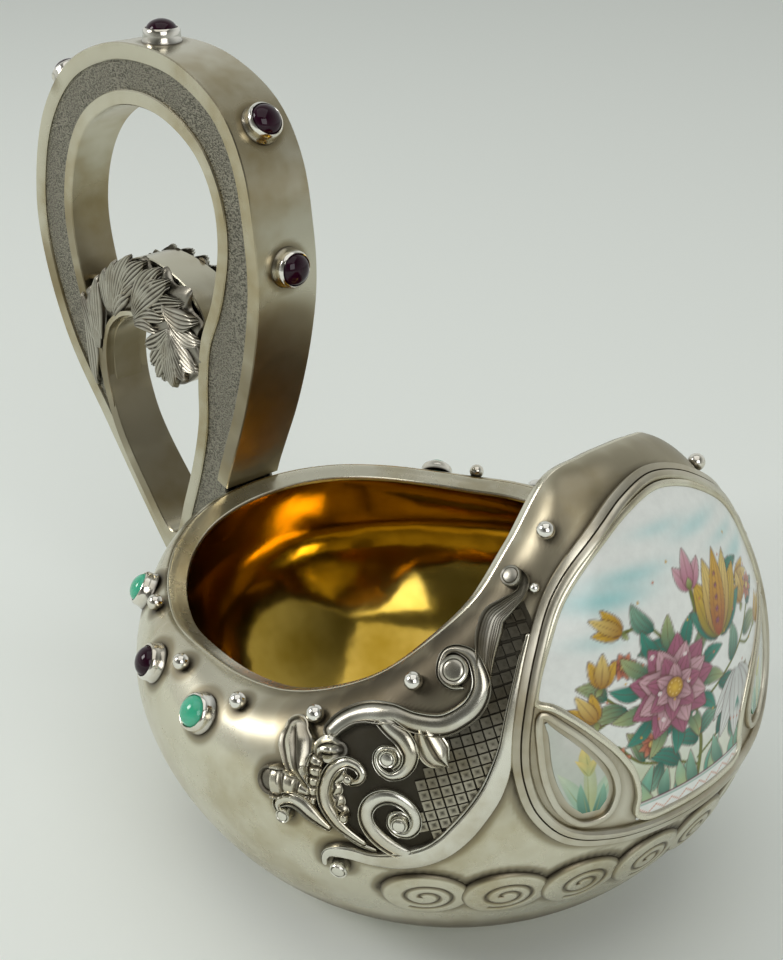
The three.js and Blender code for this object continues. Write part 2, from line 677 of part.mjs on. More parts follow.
// Half the handle's width: it narrows evenly from the bowl to the back of the loop
function handleHalfWidth(x) {
  const share = (-x - mouthBackReach) / handleLength;
  return handleRootHalfWidth + (handleBackHalfWidth - handleRootHalfWidth) * share;
}

// Extrudes an outline of the handle across its width, between two depths that may follow the taper
function acrossHandle(outline, holes, low, high) {
  const leftHanded = (places) => (
    THREE.ShapeUtils.isClockWise(places) ? places.slice().reverse() : places
  );
  const shape = new THREE.Shape(leftHanded(outline));
  holes.forEach((hole) => shape.holes.push(new THREE.Path(leftHanded(hole))));
  const raw = new THREE.ExtrudeGeometry(shape, { depth: 1, bevelEnabled: false, steps: 1 });
  raw.deleteAttribute('normal');
  raw.deleteAttribute('uv');
  const merged = mergeVertices(raw);
  const position = merged.getAttribute('position');
  const points = [];
  for (let i = 0; i < position.count; i += 1) {
    const [x, z, share] = [position.getX(i), position.getY(i), position.getZ(i)];
    points.push(new THREE.Vector3(x, low(x) + (high(x) - low(x)) * share, z));
  }
  return closedBody(points, Array.from(merged.index.array));
}

const outlineSteps = { outer: 60, opening: 46, curl: 40, leaf: 56 };
const outerLine = handleOutline(outerHandleShares, outlineSteps.outer, false);
const openingLine = handleOutline(openingShares, outlineSteps.opening, true);
const bowlCut = bowlBlock(seat);
const nearEdge = (x) => -handleHalfWidth(x);
const farEdge = (x) => handleHalfWidth(x);

// The outer strap carries the outline and dies against the bowl at both ends
const outerInside = offsetOutline(outerLine, -outerStrapThickness, false);
const outerStrap = acrossHandle([...outerLine, ...outerInside.slice().reverse()], [], nearEdge, farEdge);
add('handle_outer_strap', fromSolid(toSolid(outerStrap).subtract(bowlCut)), silver);

// The inner strap lines the finger opening
const openingOutside = offsetOutline(openingLine, innerStrapThickness, true);
add('handle_inner_strap', acrossHandle(openingOutside, [openingLine], nearEdge, farEdge), silver);

// The curl grows from the inner strap: a bent strap between two leaves that close its sides
const curlLine = handleOutline(curlShares, outlineSteps.curl, true);
const leafLine = handleOutline(leafShares, outlineSteps.leaf, true);
const curlDepth = leafThickness + seat;
const openingRoom = toSolid(acrossHandle(
  offsetOutline(openingLine, -seat, true),
  [],
  (x) => nearEdge(x) - curlDepth,
  (x) => farEdge(x) + curlDepth,
));
const curlStrap = acrossHandle(
  curlLine,
  [offsetOutline(curlLine, curlStrapThickness, true)],
  (x) => nearEdge(x) + curlDepth,
  (x) => farEdge(x) - curlDepth,
);
add('handle_curl', fromSolid(toSolid(curlStrap).intersect(openingRoom)), silver);

// A matted face closes each side of the handle between its straps, set back from their edges
const faceLine = offsetOutline(outerLine, -outerStrapThickness - seat, false);
const faceHole = offsetOutline(openingLine, innerStrapThickness + seat, true);

for (const [handName, side] of [['left', 1], ['right', -1]]) {
  const inFrom = (depth) => (x) => side * (handleHalfWidth(x) - depth);
  const face = acrossHandle(
    faceLine,
    [faceHole],
    inFrom(facePlateRecess + facePlateThickness),
    inFrom(facePlateRecess),
  );
  add(`handle_face_${handName}`, fromSolid(toSolid(face).subtract(bowlCut)), darkSilver);
  const leaf = acrossHandle(leafLine, [], inFrom(leafThickness), inFrom(0));
  add(`handle_leaf_${handName}`, fromSolid(toSolid(leaf).intersect(openingRoom)), darkSilver);
}

// A collet is a flared ring of sheet
const colletFlareShare = 0.5;
const colletShoulderShare = 0.85;
const colletLipShare = 0.25;

function colletGeometry(diameter, height) {
  const inner = diameter / 2 + seat;
  const outer = inner + colletWall;
  return new THREE.LatheGeometry([
    new THREE.Vector2(inner, 0),
    new THREE.Vector2(outer + colletFlare, 0),
    new THREE.Vector2(outer, colletFlareShare * height),
    new THREE.Vector2(outer, colletShoulderShare * height),
    new THREE.Vector2(inner + colletLipShare * colletWall, height),
    new THREE.Vector2(inner, 0),
  ], roundSides);
}

// A stone has a straight girdle in its collet and a dome above
const girdleShare = 0.8;
const domeShare = 0.36;

function stoneGeometry(diameter, height) {
  const radius = diameter / 2;
  const girdle = girdleShare * height;
  const profile = [new THREE.Vector2(0, 0), new THREE.Vector2(radius, 0)];
  for (let i = 0; i < domeSteps; i += 1) {
    const swing = Math.PI / 2 * i / domeSteps;
    profile.push(new THREE.Vector2(
      radius * Math.cos(swing),
      girdle + domeShare * diameter * Math.sin(swing),
    ));
  }
  profile.push(new THREE.Vector2(0, girdle + domeShare * diameter));
  return new THREE.LatheGeometry(profile, roundSides);
}

// A bead is a ball with a flat where it is soldered down
const beadFlatSwing = Math.PI / 4;

function beadGeometry(diameter) {
  const radius = diameter / 2;
  const rise = radius * Math.sin(beadFlatSwing);
  const profile = [new THREE.Vector2(0, 0)];
  for (let i = 0; i < beadSteps; i += 1) {
    const swing = THREE.MathUtils.lerp(-beadFlatSwing, Math.PI / 2, i / beadSteps);
    profile.push(new THREE.Vector2(radius * Math.cos(swing), rise + radius * Math.sin(swing)));
  }
  profile.push(new THREE.Vector2(0, rise + radius));
  return new THREE.LatheGeometry(profile, beadSides);
}

function stand(name, geometry, look, foot, normal) {
  geometry.deleteAttribute('normal');
  geometry.deleteAttribute('uv');
  add(name, setOn(mergeVertices(geometry), foot, normal), look);
}

function standOnWall(name, geometry, look, { turn, height }, side) {
  const level = levelOf(side * turn, height);
  stand(name, geometry, look, wallAtLevel(side * turn, level), wallNormal(side * turn, level));
}

const bodyStoneShares = [
  ['front', [96, 0.909], chrysoprase],
  ['middle', [114, 0.9105], garnet],
  ['back', [137, 0.9489], chrysoprase],
];
// The first bead and the small one sit beside the picture's frame, and the others follow the lip
const frameBeads = [
  { name: 'bead_1', runShare: 0.091, way: 42.7, diameter: beadDiameter, room: frameBeadRoom },
  { name: 'small_bead', runShare: 0.1295, way: 31.1, diameter: smallBeadDiameter, room: seat },
];
const beadShares = [
  ['bead_2', [51.4, 0.9553]], ['bead_3', [69.8, 0.9623]], ['bead_4', [89, 0.9705]],
  ['bead_5', [107, 0.9729]], ['bead_6', [129, 0.9892]],
];

for (const [handName, side] of [['left', 1], ['right', -1]]) {
  for (const [placeName, place, look] of bodyStoneShares) {
    const collet = colletGeometry(bodyStoneDiameter, bodyColletHeight);
    const stone = stoneGeometry(bodyStoneDiameter, bodyColletHeight);
    standOnWall(`bowl_collet_${placeName}_${handName}`, collet, silver, spotOf(place), side);
    standOnWall(`bowl_stone_${placeName}_${handName}`, stone, look, spotOf(place), side);
  }
  for (const { name, runShare, way, diameter, room } of frameBeads) {
    const onFrame = framePath.getPoint(runShare);
    const spot = spotBeside({ turn: onFrame.x, height: onFrame.y }, way, (frameWidth + diameter) / 2 + room);
    standOnWall(`${name}_${handName}`, beadGeometry(diameter), silver, spot, side);
  }
  for (const [name, place] of beadShares) {
    standOnWall(`${name}_${handName}`, beadGeometry(beadDiameter), silver, spotOf(place), side);
  }
}

// Four stones ride the middle of the outer strap, at shares of its run from the front end
const handleStoneRunShares = [['lower', 0.173], ['upper', 0.267], ['top', 0.377], ['back', 0.5]];
const handleRun = new THREE.CatmullRomCurve3(
  outerLine.map((place) => new THREE.Vector3(place.x, 0, place.y)),
);
for (const [placeName, runShare] of handleStoneRunShares) {
  const along = handleRun.getTangentAt(runShare);
  const normal = new THREE.Vector3(along.z, 0, -along.x);
  const foot = handleRun.getPointAt(runShare);
  const collet = colletGeometry(handleStoneDiameter, handleColletHeight);
  const stone = stoneGeometry(handleStoneDiameter, handleColletHeight);
  stand(`handle_collet_${placeName}`, collet, silver, foot, normal);
  stand(`handle_stone_${placeName}`, stone, garnet, foot, normal);
}

export default kovsh;
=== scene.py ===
import functools
import math

import bmesh
import bpy
import numpy
from mathutils import Matrix, Vector, bvhtree, kdtree


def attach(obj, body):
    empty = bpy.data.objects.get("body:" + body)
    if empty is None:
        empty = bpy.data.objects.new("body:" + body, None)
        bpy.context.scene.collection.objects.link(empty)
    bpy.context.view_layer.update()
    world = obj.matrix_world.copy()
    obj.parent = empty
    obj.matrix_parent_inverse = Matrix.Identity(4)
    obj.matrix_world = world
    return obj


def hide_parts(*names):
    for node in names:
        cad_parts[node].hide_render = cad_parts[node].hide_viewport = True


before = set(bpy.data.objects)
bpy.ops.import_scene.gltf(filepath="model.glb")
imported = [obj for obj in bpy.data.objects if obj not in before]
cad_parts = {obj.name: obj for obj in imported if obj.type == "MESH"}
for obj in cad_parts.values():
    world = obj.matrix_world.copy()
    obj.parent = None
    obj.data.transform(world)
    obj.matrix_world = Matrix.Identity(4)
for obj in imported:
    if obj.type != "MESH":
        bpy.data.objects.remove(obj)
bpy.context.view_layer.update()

# The bowl: one sheet of silver raised by hand from a small round flat, widest at the belly. Its lip
# climbs to a tall prow. The outside is polished and has warmed with age, and the inside is gilt.
# The origin is the middle of the flat, +X points to the prow, and a turn is in degrees from there.
mm = 0.001
bowl_front_reach = 78 * mm
bowl_back_reach = 87.5 * mm
bowl_half_width = 79 * mm
belly_height = 52 * mm
foot_radius = 33 * mm
foot_dish = 0.6 * mm
bowl_wall = 2 * mm
lower_roundness = 1.7
prow_reach = 48 * mm
mouth_back_reach = 81 * mm
mouth_half_width = 64 * mm
side_lip_height = 70.5 * mm
prow_height = 129 * mm
lip_step = 10
lip_shares = (
    (1, 0, 1), (0.985, 0.132, 0.988), (0.947, 0.271, 0.937), (0.938, 0.426, 0.734),
    (0.912, 0.579, 0.544), (0.792, 0.722, 0.371), (0.625, 0.835, 0.221), (0.422, 0.92, 0.12),
    (0.209, 0.975, 0.053), (0, 0.997, 0.017), (-0.142, 1.004, 0.002), (-0.295, 0.995, 0.01),
    (-0.443, 0.955, 0.01), (-0.581, 0.87, 0.008), (-0.716, 0.753, 0.023), (-0.837, 0.6, 0.048),
    (-0.93, 0.414, 0.072), (-0.983, 0.211, 0.086), (-1, 0, 0.09),
)


def lip_corner(shares, side):
    reach_share, width_share, rise_share = shares
    return Vector((
        reach_share * (prow_reach if reach_share > 0 else mouth_back_reach),
        side * width_share * mouth_half_width,
        side_lip_height + rise_share * (prow_height - side_lip_height),
    ))


lip_corners = [lip_corner(shares, 1) for shares in lip_shares]
lip_corners += [lip_corner(shares, -1) for shares in lip_shares[-2:0:-1]]


def eased(start, end, leaving, arriving, share):
    """The point at a share of the way between two points that are left and reached at given speeds."""
    bend = start * -3 + end * 3 - leaving * 2 - arriving
    twist = start * 2 - end * 2 + leaving + arriving
    return start + leaving * share + bend * share ** 2 + twist * share ** 3


@functools.lru_cache(maxsize=None)
def lip_point(turn):
    place = turn / lip_step
    index = math.floor(place)
    before, start, end, after = (lip_corners[(index + k) % len(lip_corners)] for k in (-1, 0, 1, 2))
    return eased(start, end, (end - before) / 2, (after - start) / 2, place - index)


def wall_point(turn, level):
    """A point of the bowl's outside. A level runs from 0 at the foot, by 1 at the belly, to 2 at the lip."""
    angle = math.radians(turn)
    reach = bowl_front_reach if math.cos(angle) > 0 else bowl_back_reach
    belly = Vector((reach * math.cos(angle), bowl_half_width * math.sin(angle), belly_height))
    if level <= 1:
        swing = level * math.pi / 2
        foot = Vector((foot_radius * math.cos(angle), foot_radius * math.sin(angle), 0))
        point = foot.lerp(belly, math.sin(swing) ** (2 / lower_roundness))
        point.z = belly_height * (1 - max(math.cos(swing), 0) ** (2 / lower_roundness))
        return point
    swing = (level - 1) * math.pi / 2
    lip = lip_point(turn)
    point = lip.lerp(belly, max(math.cos(swing), 0))
    point.z = belly_height + math.sin(swing) * (lip.z - belly_height)
    return point


def level_at(turn, height):
    if height <= belly_height:
        fall = 1 - height / belly_height
        return math.acos(fall ** (lower_roundness / 2)) / (math.pi / 2)
    climb = min((height - belly_height) / (lip_point(turn).z - belly_height), 1)
    return 1 + math.asin(climb) / (math.pi / 2)


turn_step = 0.5
level_step = 0.01


def wall_normal(turn, level):
    low = max(level - level_step, level_step / 2)
    high = min(level + level_step, 2 - level_step / 2)
    along = wall_point(turn + turn_step, level) - wall_point(turn - turn_step, level)
    up = wall_point(turn, high) - wall_point(turn, low)
    return along.cross(up).normalized()


def on_wall(turn, height, lift=0.0):
    level = level_at(turn, height)
    return wall_point(turn, level) + wall_normal(turn, level) * lift


weld = 0.2e-6
crease = math.radians(38)


def skin(rings, closed=False, poles=False):
    """A mesh through rings of corners, each a place and how dark the silver is there, as painted shade and
    tarnish.

    The row of rings runs round into itself where it is closed. A ring does too, or with poles it
    runs from one place that they all share to another.
    """
    columns = len(rings) if closed else len(rings) - 1
    sides = len(rings[0])
    rows = sides - 1 if poles else sides
    mesh = bmesh.new()
    shade_and_tarnish = mesh.verts.layers.float.new("shade_and_tarnish")
    bmesh.ops.create_grid(mesh, x_segments=columns, y_segments=rows, size=1)
    for vert in mesh.verts:
        ring = rings[round((vert.co.x + 1) / 2 * columns) % len(rings)]
        place, dark = ring[round((vert.co.y + 1) / 2 * rows) % sides]
        vert.co = place
        vert[shade_and_tarnish] = dark
    bmesh.ops.remove_doubles(mesh, verts=mesh.verts, dist=weld)
    bmesh.ops.recalc_face_normals(mesh, faces=mesh.faces)
    return mesh


def joined(*meshes):
    whole = meshes[0]
    for mesh in meshes[1:]:
        spare = bpy.data.meshes.new("spare")
        mesh.to_mesh(spare)
        mesh.free()
        whole.from_mesh(spare)
        bpy.data.meshes.remove(spare)
    return whole


def mirrored(mesh):
    """A copy for the other flank."""
    copy = mesh.copy()
    bmesh.ops.scale(copy, vec=(1, -1, 1), verts=copy.verts)
    bmesh.ops.reverse_faces(copy, faces=copy.faces)
    return copy


def finish_piece(mesh, name, finishes, replaced=()):
    """Makes a named piece from a mesh, with its finishes and the nodes that it stands for."""
    for edge in mesh.edges:
        edge.smooth = edge.calc_face_angle(0) < crease
    for face in mesh.faces:
        face.smooth = True
    data = bpy.data.meshes.new(name)
    mesh.to_mesh(data)
    mesh.free()
    for finish in finishes:
        data.materials.append(finish.material)
    piece = bpy.data.objects.new(name, data)
    bpy.context.scene.collection.objects.link(piece)
    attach(piece, "root")
    if replaced:
        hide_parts(*replaced)
    return piece


def finish_pair(mesh, name, finishes, replaced=()):
    """The same piece on both flanks. The mesh is the left one's."""
    other = mirrored(mesh)
    return [
        finish_piece(half, f"{name}_{hand}", finishes, [f"{node}_{hand}" for node in replaced])
        for hand, half in (("left", mesh), ("right", other))
    ]


class Shade:
    """A value that varies over a surface. Sums and products of it add Math nodes."""

    def __init__(self, finish, socket):
        self.finish = finish
        self.socket = socket

    def math(self, operation, *values):
        return self.finish.node("ShaderNodeMath", {"operation": operation}, dict(enumerate(values)))

    def __add__(self, other):
        return self.math("ADD", self, other)

    def __mul__(self, other):
        return self.math("MULTIPLY", self, other)

    def __pow__(self, other):
        return self.math("POWER", self, other)

    __radd__ = __add__
    __rmul__ = __mul__

    def between(self, low, high):
        """How far this value is from low to high, from 0 to 1, smoothly."""
        return self.finish.node("ShaderNodeMapRange", {"interpolation_type": "SMOOTHSTEP"}, {
            "Value": self, "From Min": low, "From Max": high,
        })


class Finish:
    """A material and the means to build it."""

    def __init__(self, name, **fixed):
        self.material = bpy.data.materials.new(name)
        self.material.use_nodes = True
        self.tree = self.material.node_tree
        self.shader = self.tree.nodes["Principled BSDF"]
        for socket, value in fixed.items():
            self.shader.inputs[socket.replace("_", " ")].default_value = value

    def node(self, kind, settings=None, values=None, output=0):
        node = self.tree.nodes.new(kind)
        for key, value in (settings or {}).items():
            setattr(node, key, value)
        for key, value in (values or {}).items():
            if isinstance(value, Shade):
                self.tree.links.new(value.socket, node.inputs[key])
            else:
                node.inputs[key].default_value = value
        return Shade(self, node.outputs[output])

    def blend(self, share, first, second):
        return self.node("ShaderNodeMix", {"data_type": "RGBA"}, {0: share, 6: first, 7: second}, 2)

    def place(self):
        return self.node("ShaderNodeTexCoord", output="Object")

    def grain(self, scale, detail=3, roughness=0.5, stretch=(1, 1, 1)):
        at = self.node("ShaderNodeMapping", {}, {"Vector": self.place(), "Scale": stretch})
        return self.node("ShaderNodeTexNoise", {}, {
            "Vector": at, "Scale": scale, "Detail": detail, "Roughness": roughness,
        })

    def mark(self, name):
        return self.node("ShaderNodeAttribute", {"attribute_name": name}, output="Fac")

    def relief(self, height, distance, strength=1):
        normal = self.node("ShaderNodeBump", {}, {
            "Height": height, "Distance": distance, "Strength": strength,
        })
        self.feed("Normal", normal)

    def feed(self, socket, value):
        self.tree.links.new(value.socket, self.shader.inputs[socket])


shade_and_tarnish_brown = (0.22, 0.16, 0.06, 1)
shade_and_tarnish_black = (0.05, 0.04, 0.028, 1)
brown_share = 0.5
brown_edges = (0.02, 0.4)
browned_power = 1.5
cloud_edges = (0.42, 0.66)
speck_share = 0.55
shade_and_tarnish_roughness = 0.22
wear_scale = 900
wear_stretch = (1, 1, 0.12)
wear_depth = 0.02 * mm
wear_strength = 0.35


def silver_finish(name, clean, warm, rough=(0.2, 0.34), cloud_scale=34, dark=shade_and_tarnish_black, browned=False):
    """Old silver: cloudy warm tarnish on clean metal, faint hand wear, and black painted shade with tarnish
    where the mark says.

    Plain sheet is browned: it is brown where that black begins.
    """
    finish = Finish(name, Metallic=1.0)
    cloud = finish.grain(cloud_scale, 4, 0.6).between(*cloud_edges)
    speck = finish.grain(cloud_scale * 9, 3, 0.6)
    metal = finish.blend(cloud * (1 - speck_share + speck_share * speck), clean, warm)
    shade_and_tarnish = finish.mark("shade_and_tarnish")
    if browned:
        metal = finish.blend(brown_share * shade_and_tarnish.between(*brown_edges), metal, shade_and_tarnish_brown)
    finish.feed("Base Color", finish.blend(shade_and_tarnish ** browned_power if browned else shade_and_tarnish, metal, dark))
    smear = finish.grain(cloud_scale * 3, 4, 0.65)
    finish.feed("Roughness", rough[0] + (rough[1] - rough[0]) * smear + shade_and_tarnish_roughness * shade_and_tarnish)
    finish.relief(finish.grain(wear_scale, 2, 0.5, wear_stretch), wear_depth, wear_strength)
    return finish


sheet_colours = ((0.66, 0.63, 0.505, 1), (0.46, 0.40, 0.25, 1))
bowl_silver = silver_finish("bowl_silver", *sheet_colours, browned=True)

bright_gold = (0.64, 0.44, 0.085, 1)
deep_gold = (0.42, 0.265, 0.025, 1)
gilding = Finish("gilding", Metallic=1.0)
gilt_cloud = gilding.grain(26, 4, 0.6).between(0.38, 0.68)
gilding.feed("Base Color", gilding.blend(gilt_cloud, bright_gold, deep_gold))
gilding.feed("Roughness", 0.07 + 0.08 * gilding.grain(60, 4, 0.6))
gilding.relief(gilding.grain(75, 2, 0.4), 0.3 * mm, 0.6)

bowl_columns = 512
outside_rows = 128
inside_rows = 44
gilt_wall = bowl_wall + 0.2 * mm
gilt_from = 0.99 * gilt_wall
gilt_lean = 1.2
foot_edge_shares = (0.4, 0.8, 0.93)
foot_edge_power = 6


def bowl_column(turn):
    """The sheet at one turn: from under its foot, up the outside, over the lip and down the inside."""
    column = [Vector((0, 0, foot_dish))]
    for share in foot_edge_shares:
        edge = wall_point(turn, 0) * share
        edge.z = foot_dish * (1 - share ** foot_edge_power)
        column.append(edge)
    for i in range(outside_rows + 1):
        column.append(wall_point(turn, 2 * i / outside_rows))
    column.append(lip_point(turn) - Vector((0, 0, gilt_wall / 2)))
    for i in range(1, inside_rows):
        level = 2 - 2 * i / inside_rows
        column.append(wall_point(turn, level) - wall_normal(turn, level) * gilt_wall)
    column.append(wall_point(turn, 0) + Vector((0, 0, gilt_wall)))
    column.append(Vector((0, 0, gilt_wall)))
    return column


bowl_rings = [
    [(place, 0.0) for place in bowl_column(360 * i / bowl_columns)] for i in range(bowl_columns)
]
bowl_mesh = skin(bowl_rings, closed=True, poles=True)
for face in bowl_mesh.faces:
    middle = face.calc_center_median()
    outward = Vector((middle.x, middle.y, (middle.z - belly_height) * gilt_lean))
    is_gilt = middle.z > gilt_from and face.normal.dot(outward) < 0
    face.material_index = int(is_gilt)
bowl_sheet = bvhtree.BVHTree.FromBMesh(bowl_mesh)
bowl = finish_piece(bowl_mesh, "raised_bowl", [bowl_silver, gilding], ["bowl"])

# The corners round whatever is soldered to the bowl are painted black: painted shade where light doesn't
# reach, with black tarnish. Each piece marks its places here, and the bowl is darkened at the end, when all
# of them are on it.
shade_and_tarnish_marks = []


def mark_shade_and_tarnish(place, reach, fade=3.6 * mm, most=0.92, marks=shade_and_tarnish_marks):
    marks.append((place, reach, fade, most))


# The lip: a flat rim of plain silver, drawn, bent and soldered on the edge of the sheet. It leans in
# a little, and it is broad round the drinking mouth and narrow along the prow.
broad_rim = 5.2
narrow_rim = 2.5
narrow_until = 32
broad_from = 74
lip_silver = silver_finish("lip_silver", (0.72, 0.69, 0.56, 1), (0.5, 0.44, 0.29, 1))


def lip_section(turn):
    """The rim at one turn: how far in from the lip and how high, in millimetres, and how dark, which is
    painted shade under the rim, with tarnish.
    """
    away = min(turn, 360 - turn)
    share = min(max((away - narrow_until) / (broad_from - narrow_until), 0), 1)
    reach = narrow_rim + (broad_rim - narrow_rim) * share * share * (3 - 2 * share)
    return (
        (0.0, -1.4, 0.1), (-0.02, -0.5, 0), (0.1, -0.1, 0), (0.4, 0.04, 0), (0.9, -0.02, 0),
        (0.5 * reach, -0.14 * reach, 0), (reach - 0.8, -0.27 * reach, 0), (reach - 0.2, -0.31 * reach, 0),
        (reach, -0.38 * reach, 0), (reach, -0.52 * reach, 0.3), (reach - 0.6, -3.1, 0.5), (0.5, -3.4, 0.6),
    )


lip_rings = []
for i in range(bowl_columns):
    turn = 360 * i / bowl_columns
    ahead = lip_point(turn + turn_step) - lip_point(turn - turn_step)
    inward = Vector((-ahead.y, ahead.x, 0)).normalized()
    lip_rings.append([
        (lip_point(turn) + inward * (reach * mm) + Vector((0, 0, rise * mm)), dark)
        for reach, rise, dark in lip_section(turn)
    ])
finish_piece(skin(lip_rings, closed=True), "lip_rim", [lip_silver], ["lip_band"])

# The frame of the picture: a flat strip of silver, bent to the plaque's outline and soldered to the
# bowl round it. A line is engraved along its middle, and it steps down to the bowl on the outside.


def height_at(turn, share):
    """Heights on the wall are shares of the lip's height at the same turn."""
    return share * lip_point(turn).z


def smooth_line(corners, closed=False, steps=12):
    """Points on a smooth line through the corners, with as many steps to each span."""
    def corner(k):
        if closed:
            return corners[k % len(corners)]
        if k < 0:
            return corners[0] * 2 - corners[1]
        if k >= len(corners):
            return corners[-1] * 2 - corners[-2]
        return corners[k]

    line = []
    for i in range(len(corners) if closed else len(corners) - 1):
        a, b, c, d = (corner(i + k) for k in (-1, 0, 1, 2))
        first, middle, last = (max((q - p).length, 1e-6) ** 0.5 for p, q in ((a, b), (b, c), (c, d)))
        leaving = ((b - a) / first - (c - a) / (first + middle) + (c - b) / middle) * middle
        arriving = ((c - b) / middle - (d - b) / (middle + last) + (d - c) / last) * middle
        line += [eased(b, c, leaving, arriving, k / steps) for k in range(steps)]
    line.append(corner(len(corners)) if closed else corners[-1])
    return line


def evenly(line, count):
    """Points at even distances along a line."""
    run = [0.0]
    for first, second in zip(line, line[1:]):
        run.append(run[-1] + (second - first).length)
    places, at = [], 0
    for i in range(count + 1):
        goal = run[-1] * i / count
        while at < len(run) - 2 and run[at + 1] < goal:
            at += 1
        share = (goal - run[at]) / max(run[at + 1] - run[at], 1e-9)
        places.append(line[at].lerp(line[at + 1], share))
    return places


def point_of(line, run):
    """The point at a share of the way along an even line."""
    return line[round(run * (len(line) - 1))]


def wall_line(shares, closed=False):
    """A line on the wall as points of turn, height in millimetres and share of the strip's width."""
    corners = [
        Vector((turn, height_at(turn, share) / mm, *(width or [1])))
        for turn, share, *width in shares
    ]
    return smooth_line(corners, closed)


thin_rise = 0.5
turned_ends = 5
pinch_power = 8
pinch_depth = 0.4
pinch_dark = 0.75


def strip(shares, steps, width, rise, section, closed=False, bulges=0):
    """A strip soldered along a line on the wall, with rounded ends where it isn't closed.

    Its section is a list of across share, rise share and dark: painted shade at its foot and in its
    grooves, with tarnish. Bulges part it into so many lobes, painted darker where they pinch, as shade.
    """
    places = evenly(wall_line(shares, closed), steps)
    if closed:
        places.pop()

    def at(i):
        return places[i % len(places)] if closed else places[min(max(i, 0), len(places) - 1)]

    def ring_at(i, swing, way):
        place, before, after = at(i), at(i - 1), at(i + 1)
        level = level_at(place.x, place.y * mm)
        normal = wall_normal(place.x, level)
        along = (on_wall(after.x, after.y * mm) - on_wall(before.x, before.y * mm)).normalized()
        across = normal.cross(along).normalized()
        # The pinches between the lobes are painted darker, as shade.
        pinch = abs(math.cos(math.pi * bulges * i / (len(places) - 1))) ** pinch_power if bulges else 0
        high = rise * (thin_rise + (1 - thin_rise) * min(place.z, 1)) * (1 - pinch_depth * pinch)
        foot = wall_point(place.x, level)
        half = place.z * width / 2
        mark_shade_and_tarnish(foot, half)
        aside = across * (half * math.cos(swing))
        ahead = along * (way * half * math.sin(swing))
        return [
            (foot + aside * share + ahead * abs(share) + normal * (up * high), max(dark, pinch_dark * pinch))
            for share, up, dark in section
        ]

    if closed:
        return skin([ring_at(i, 0, 0) for i in range(len(places))], True)
    rings = [ring_at(0, math.pi / 2 * k / turned_ends, -1) for k in range(turned_ends, 0, -1)]
    rings += [ring_at(i, 0, 0) for i in range(len(places))]
    last = len(places) - 1
    rings += [ring_at(last, math.pi / 2 * k / turned_ends, 1) for k in range(1, turned_ends + 1)]
    return skin(rings)


satin_silver = silver_finish(
    "satin_silver", (0.62, 0.59, 0.49, 1), (0.42, 0.36, 0.24, 1), (0.24, 0.38), 40, browned=True)
frame_width = 4.2 * mm
frame_rise = 2.6 * mm
frame_half_shares = (
    (0, 0.964), (10, 0.9502), (20, 0.9141), (26.5, 0.8973), (30.5, 0.8458), (32.8, 0.7723),
    (33.8, 0.6975), (33.4, 0.624), (31, 0.5319), (26, 0.4461), (18, 0.3926), (8, 0.3771),
)
frame_shares = frame_half_shares + tuple((-turn, share) for turn, share in frame_half_shares[:0:-1])
# The dark column is painted shade at the foot and in the engraved line, with tarnish.
frame_section = (
    (1.0, -0.1, 0.7), (1.0, 0.45, 0.25), (0.97, 0.68, 0), (0.9, 0.76, 0), (0.5, 0.82, 0),
    (0.16, 0.82, 0.05), (0.09, 0.66, 0.95), (0.03, 0.66, 0.95), (-0.03, 0.88, 0.1), (-0.3, 1.0, 0),
    (-0.7, 0.98, 0), (-0.92, 0.8, 0), (-1.0, 0.6, 0.1), (-1.0, -0.1, 0.8),
)
surround = finish_piece(
    strip(frame_shares, 320, frame_width, frame_rise, frame_section, closed=True),
    "picture_surround", [satin_silver], ["picture_frame"],
)

# The bed of the picture: a plate of sheet silver inside the frame, soldered to the bowl. It shows
# between the enamels, and a thin polished rim is soldered on it round the picture.
bed_low = 0.1 * mm
bed_high = 1.1 * mm
bed_rows = [(-turn, share, turn, share) for turn, share in reversed(frame_half_shares[1:])]
rim_width = 1.7 * mm
rim_rise = 2.2 * mm
rim_half_shares = (
    (0, 0.948), (9.3, 0.9345), (18.3, 0.9015), (24.8, 0.88), (28.8, 0.835), (30.8, 0.79), (31, 0.759),
    (28.4, 0.728), (25.4, 0.682), (21.4, 0.618), (17.4, 0.56), (14.3, 0.505), (13.2, 0.458),
    (13.4, 0.42), (11.4, 0.405), (6, 0.4),
)
rim_shares = rim_half_shares + ((0, 0.399),) + tuple(
    (-turn, share) for turn, share in rim_half_shares[:0:-1])
# The dark column is painted shade at the rim's foot, with tarnish.
rim_section = (
    (1.0, -0.1, 0.8), (1.0, 0.7, 0.4), (0.8, 0.94, 0), (0.3, 1, 0), (-0.3, 0.96, 0), (-0.8, 0.84, 0),
    (-1.0, 0.7, 0.3), (-1.0, -0.1, 0.8),
)


def plate_rings(rows, columns, row_steps, low, high, dark=0.0):
    """A thin plate on the wall, given row by row as the turn and height share of its two ends."""
    ends = []
    for k in (0, 2):
        corners = [Vector((row[k], height_at(row[k], row[k + 1]) / mm, 0)) for row in rows]
        ends.append(evenly(smooth_line(corners), row_steps))
    rings = []
    for start, end in zip(*ends):
        spots = [start.lerp(end, i / columns) for i in range(columns + 1)]
        rings.append(
            [(on_wall(spot.x, spot.y * mm, high), dark) for spot in spots]
            + [(on_wall(spot.x, spot.y * mm, low), dark) for spot in reversed(spots)]
        )
    return rings


bed = finish_piece(
    skin(plate_rings(bed_rows, 110, 130, bed_low, bed_high)), "picture_bed", [satin_silver])
finish_piece(
    strip(rim_shares, 300, rim_width, rim_rise, rim_section, closed=True),
    "picture_rim", [lip_silver],
)

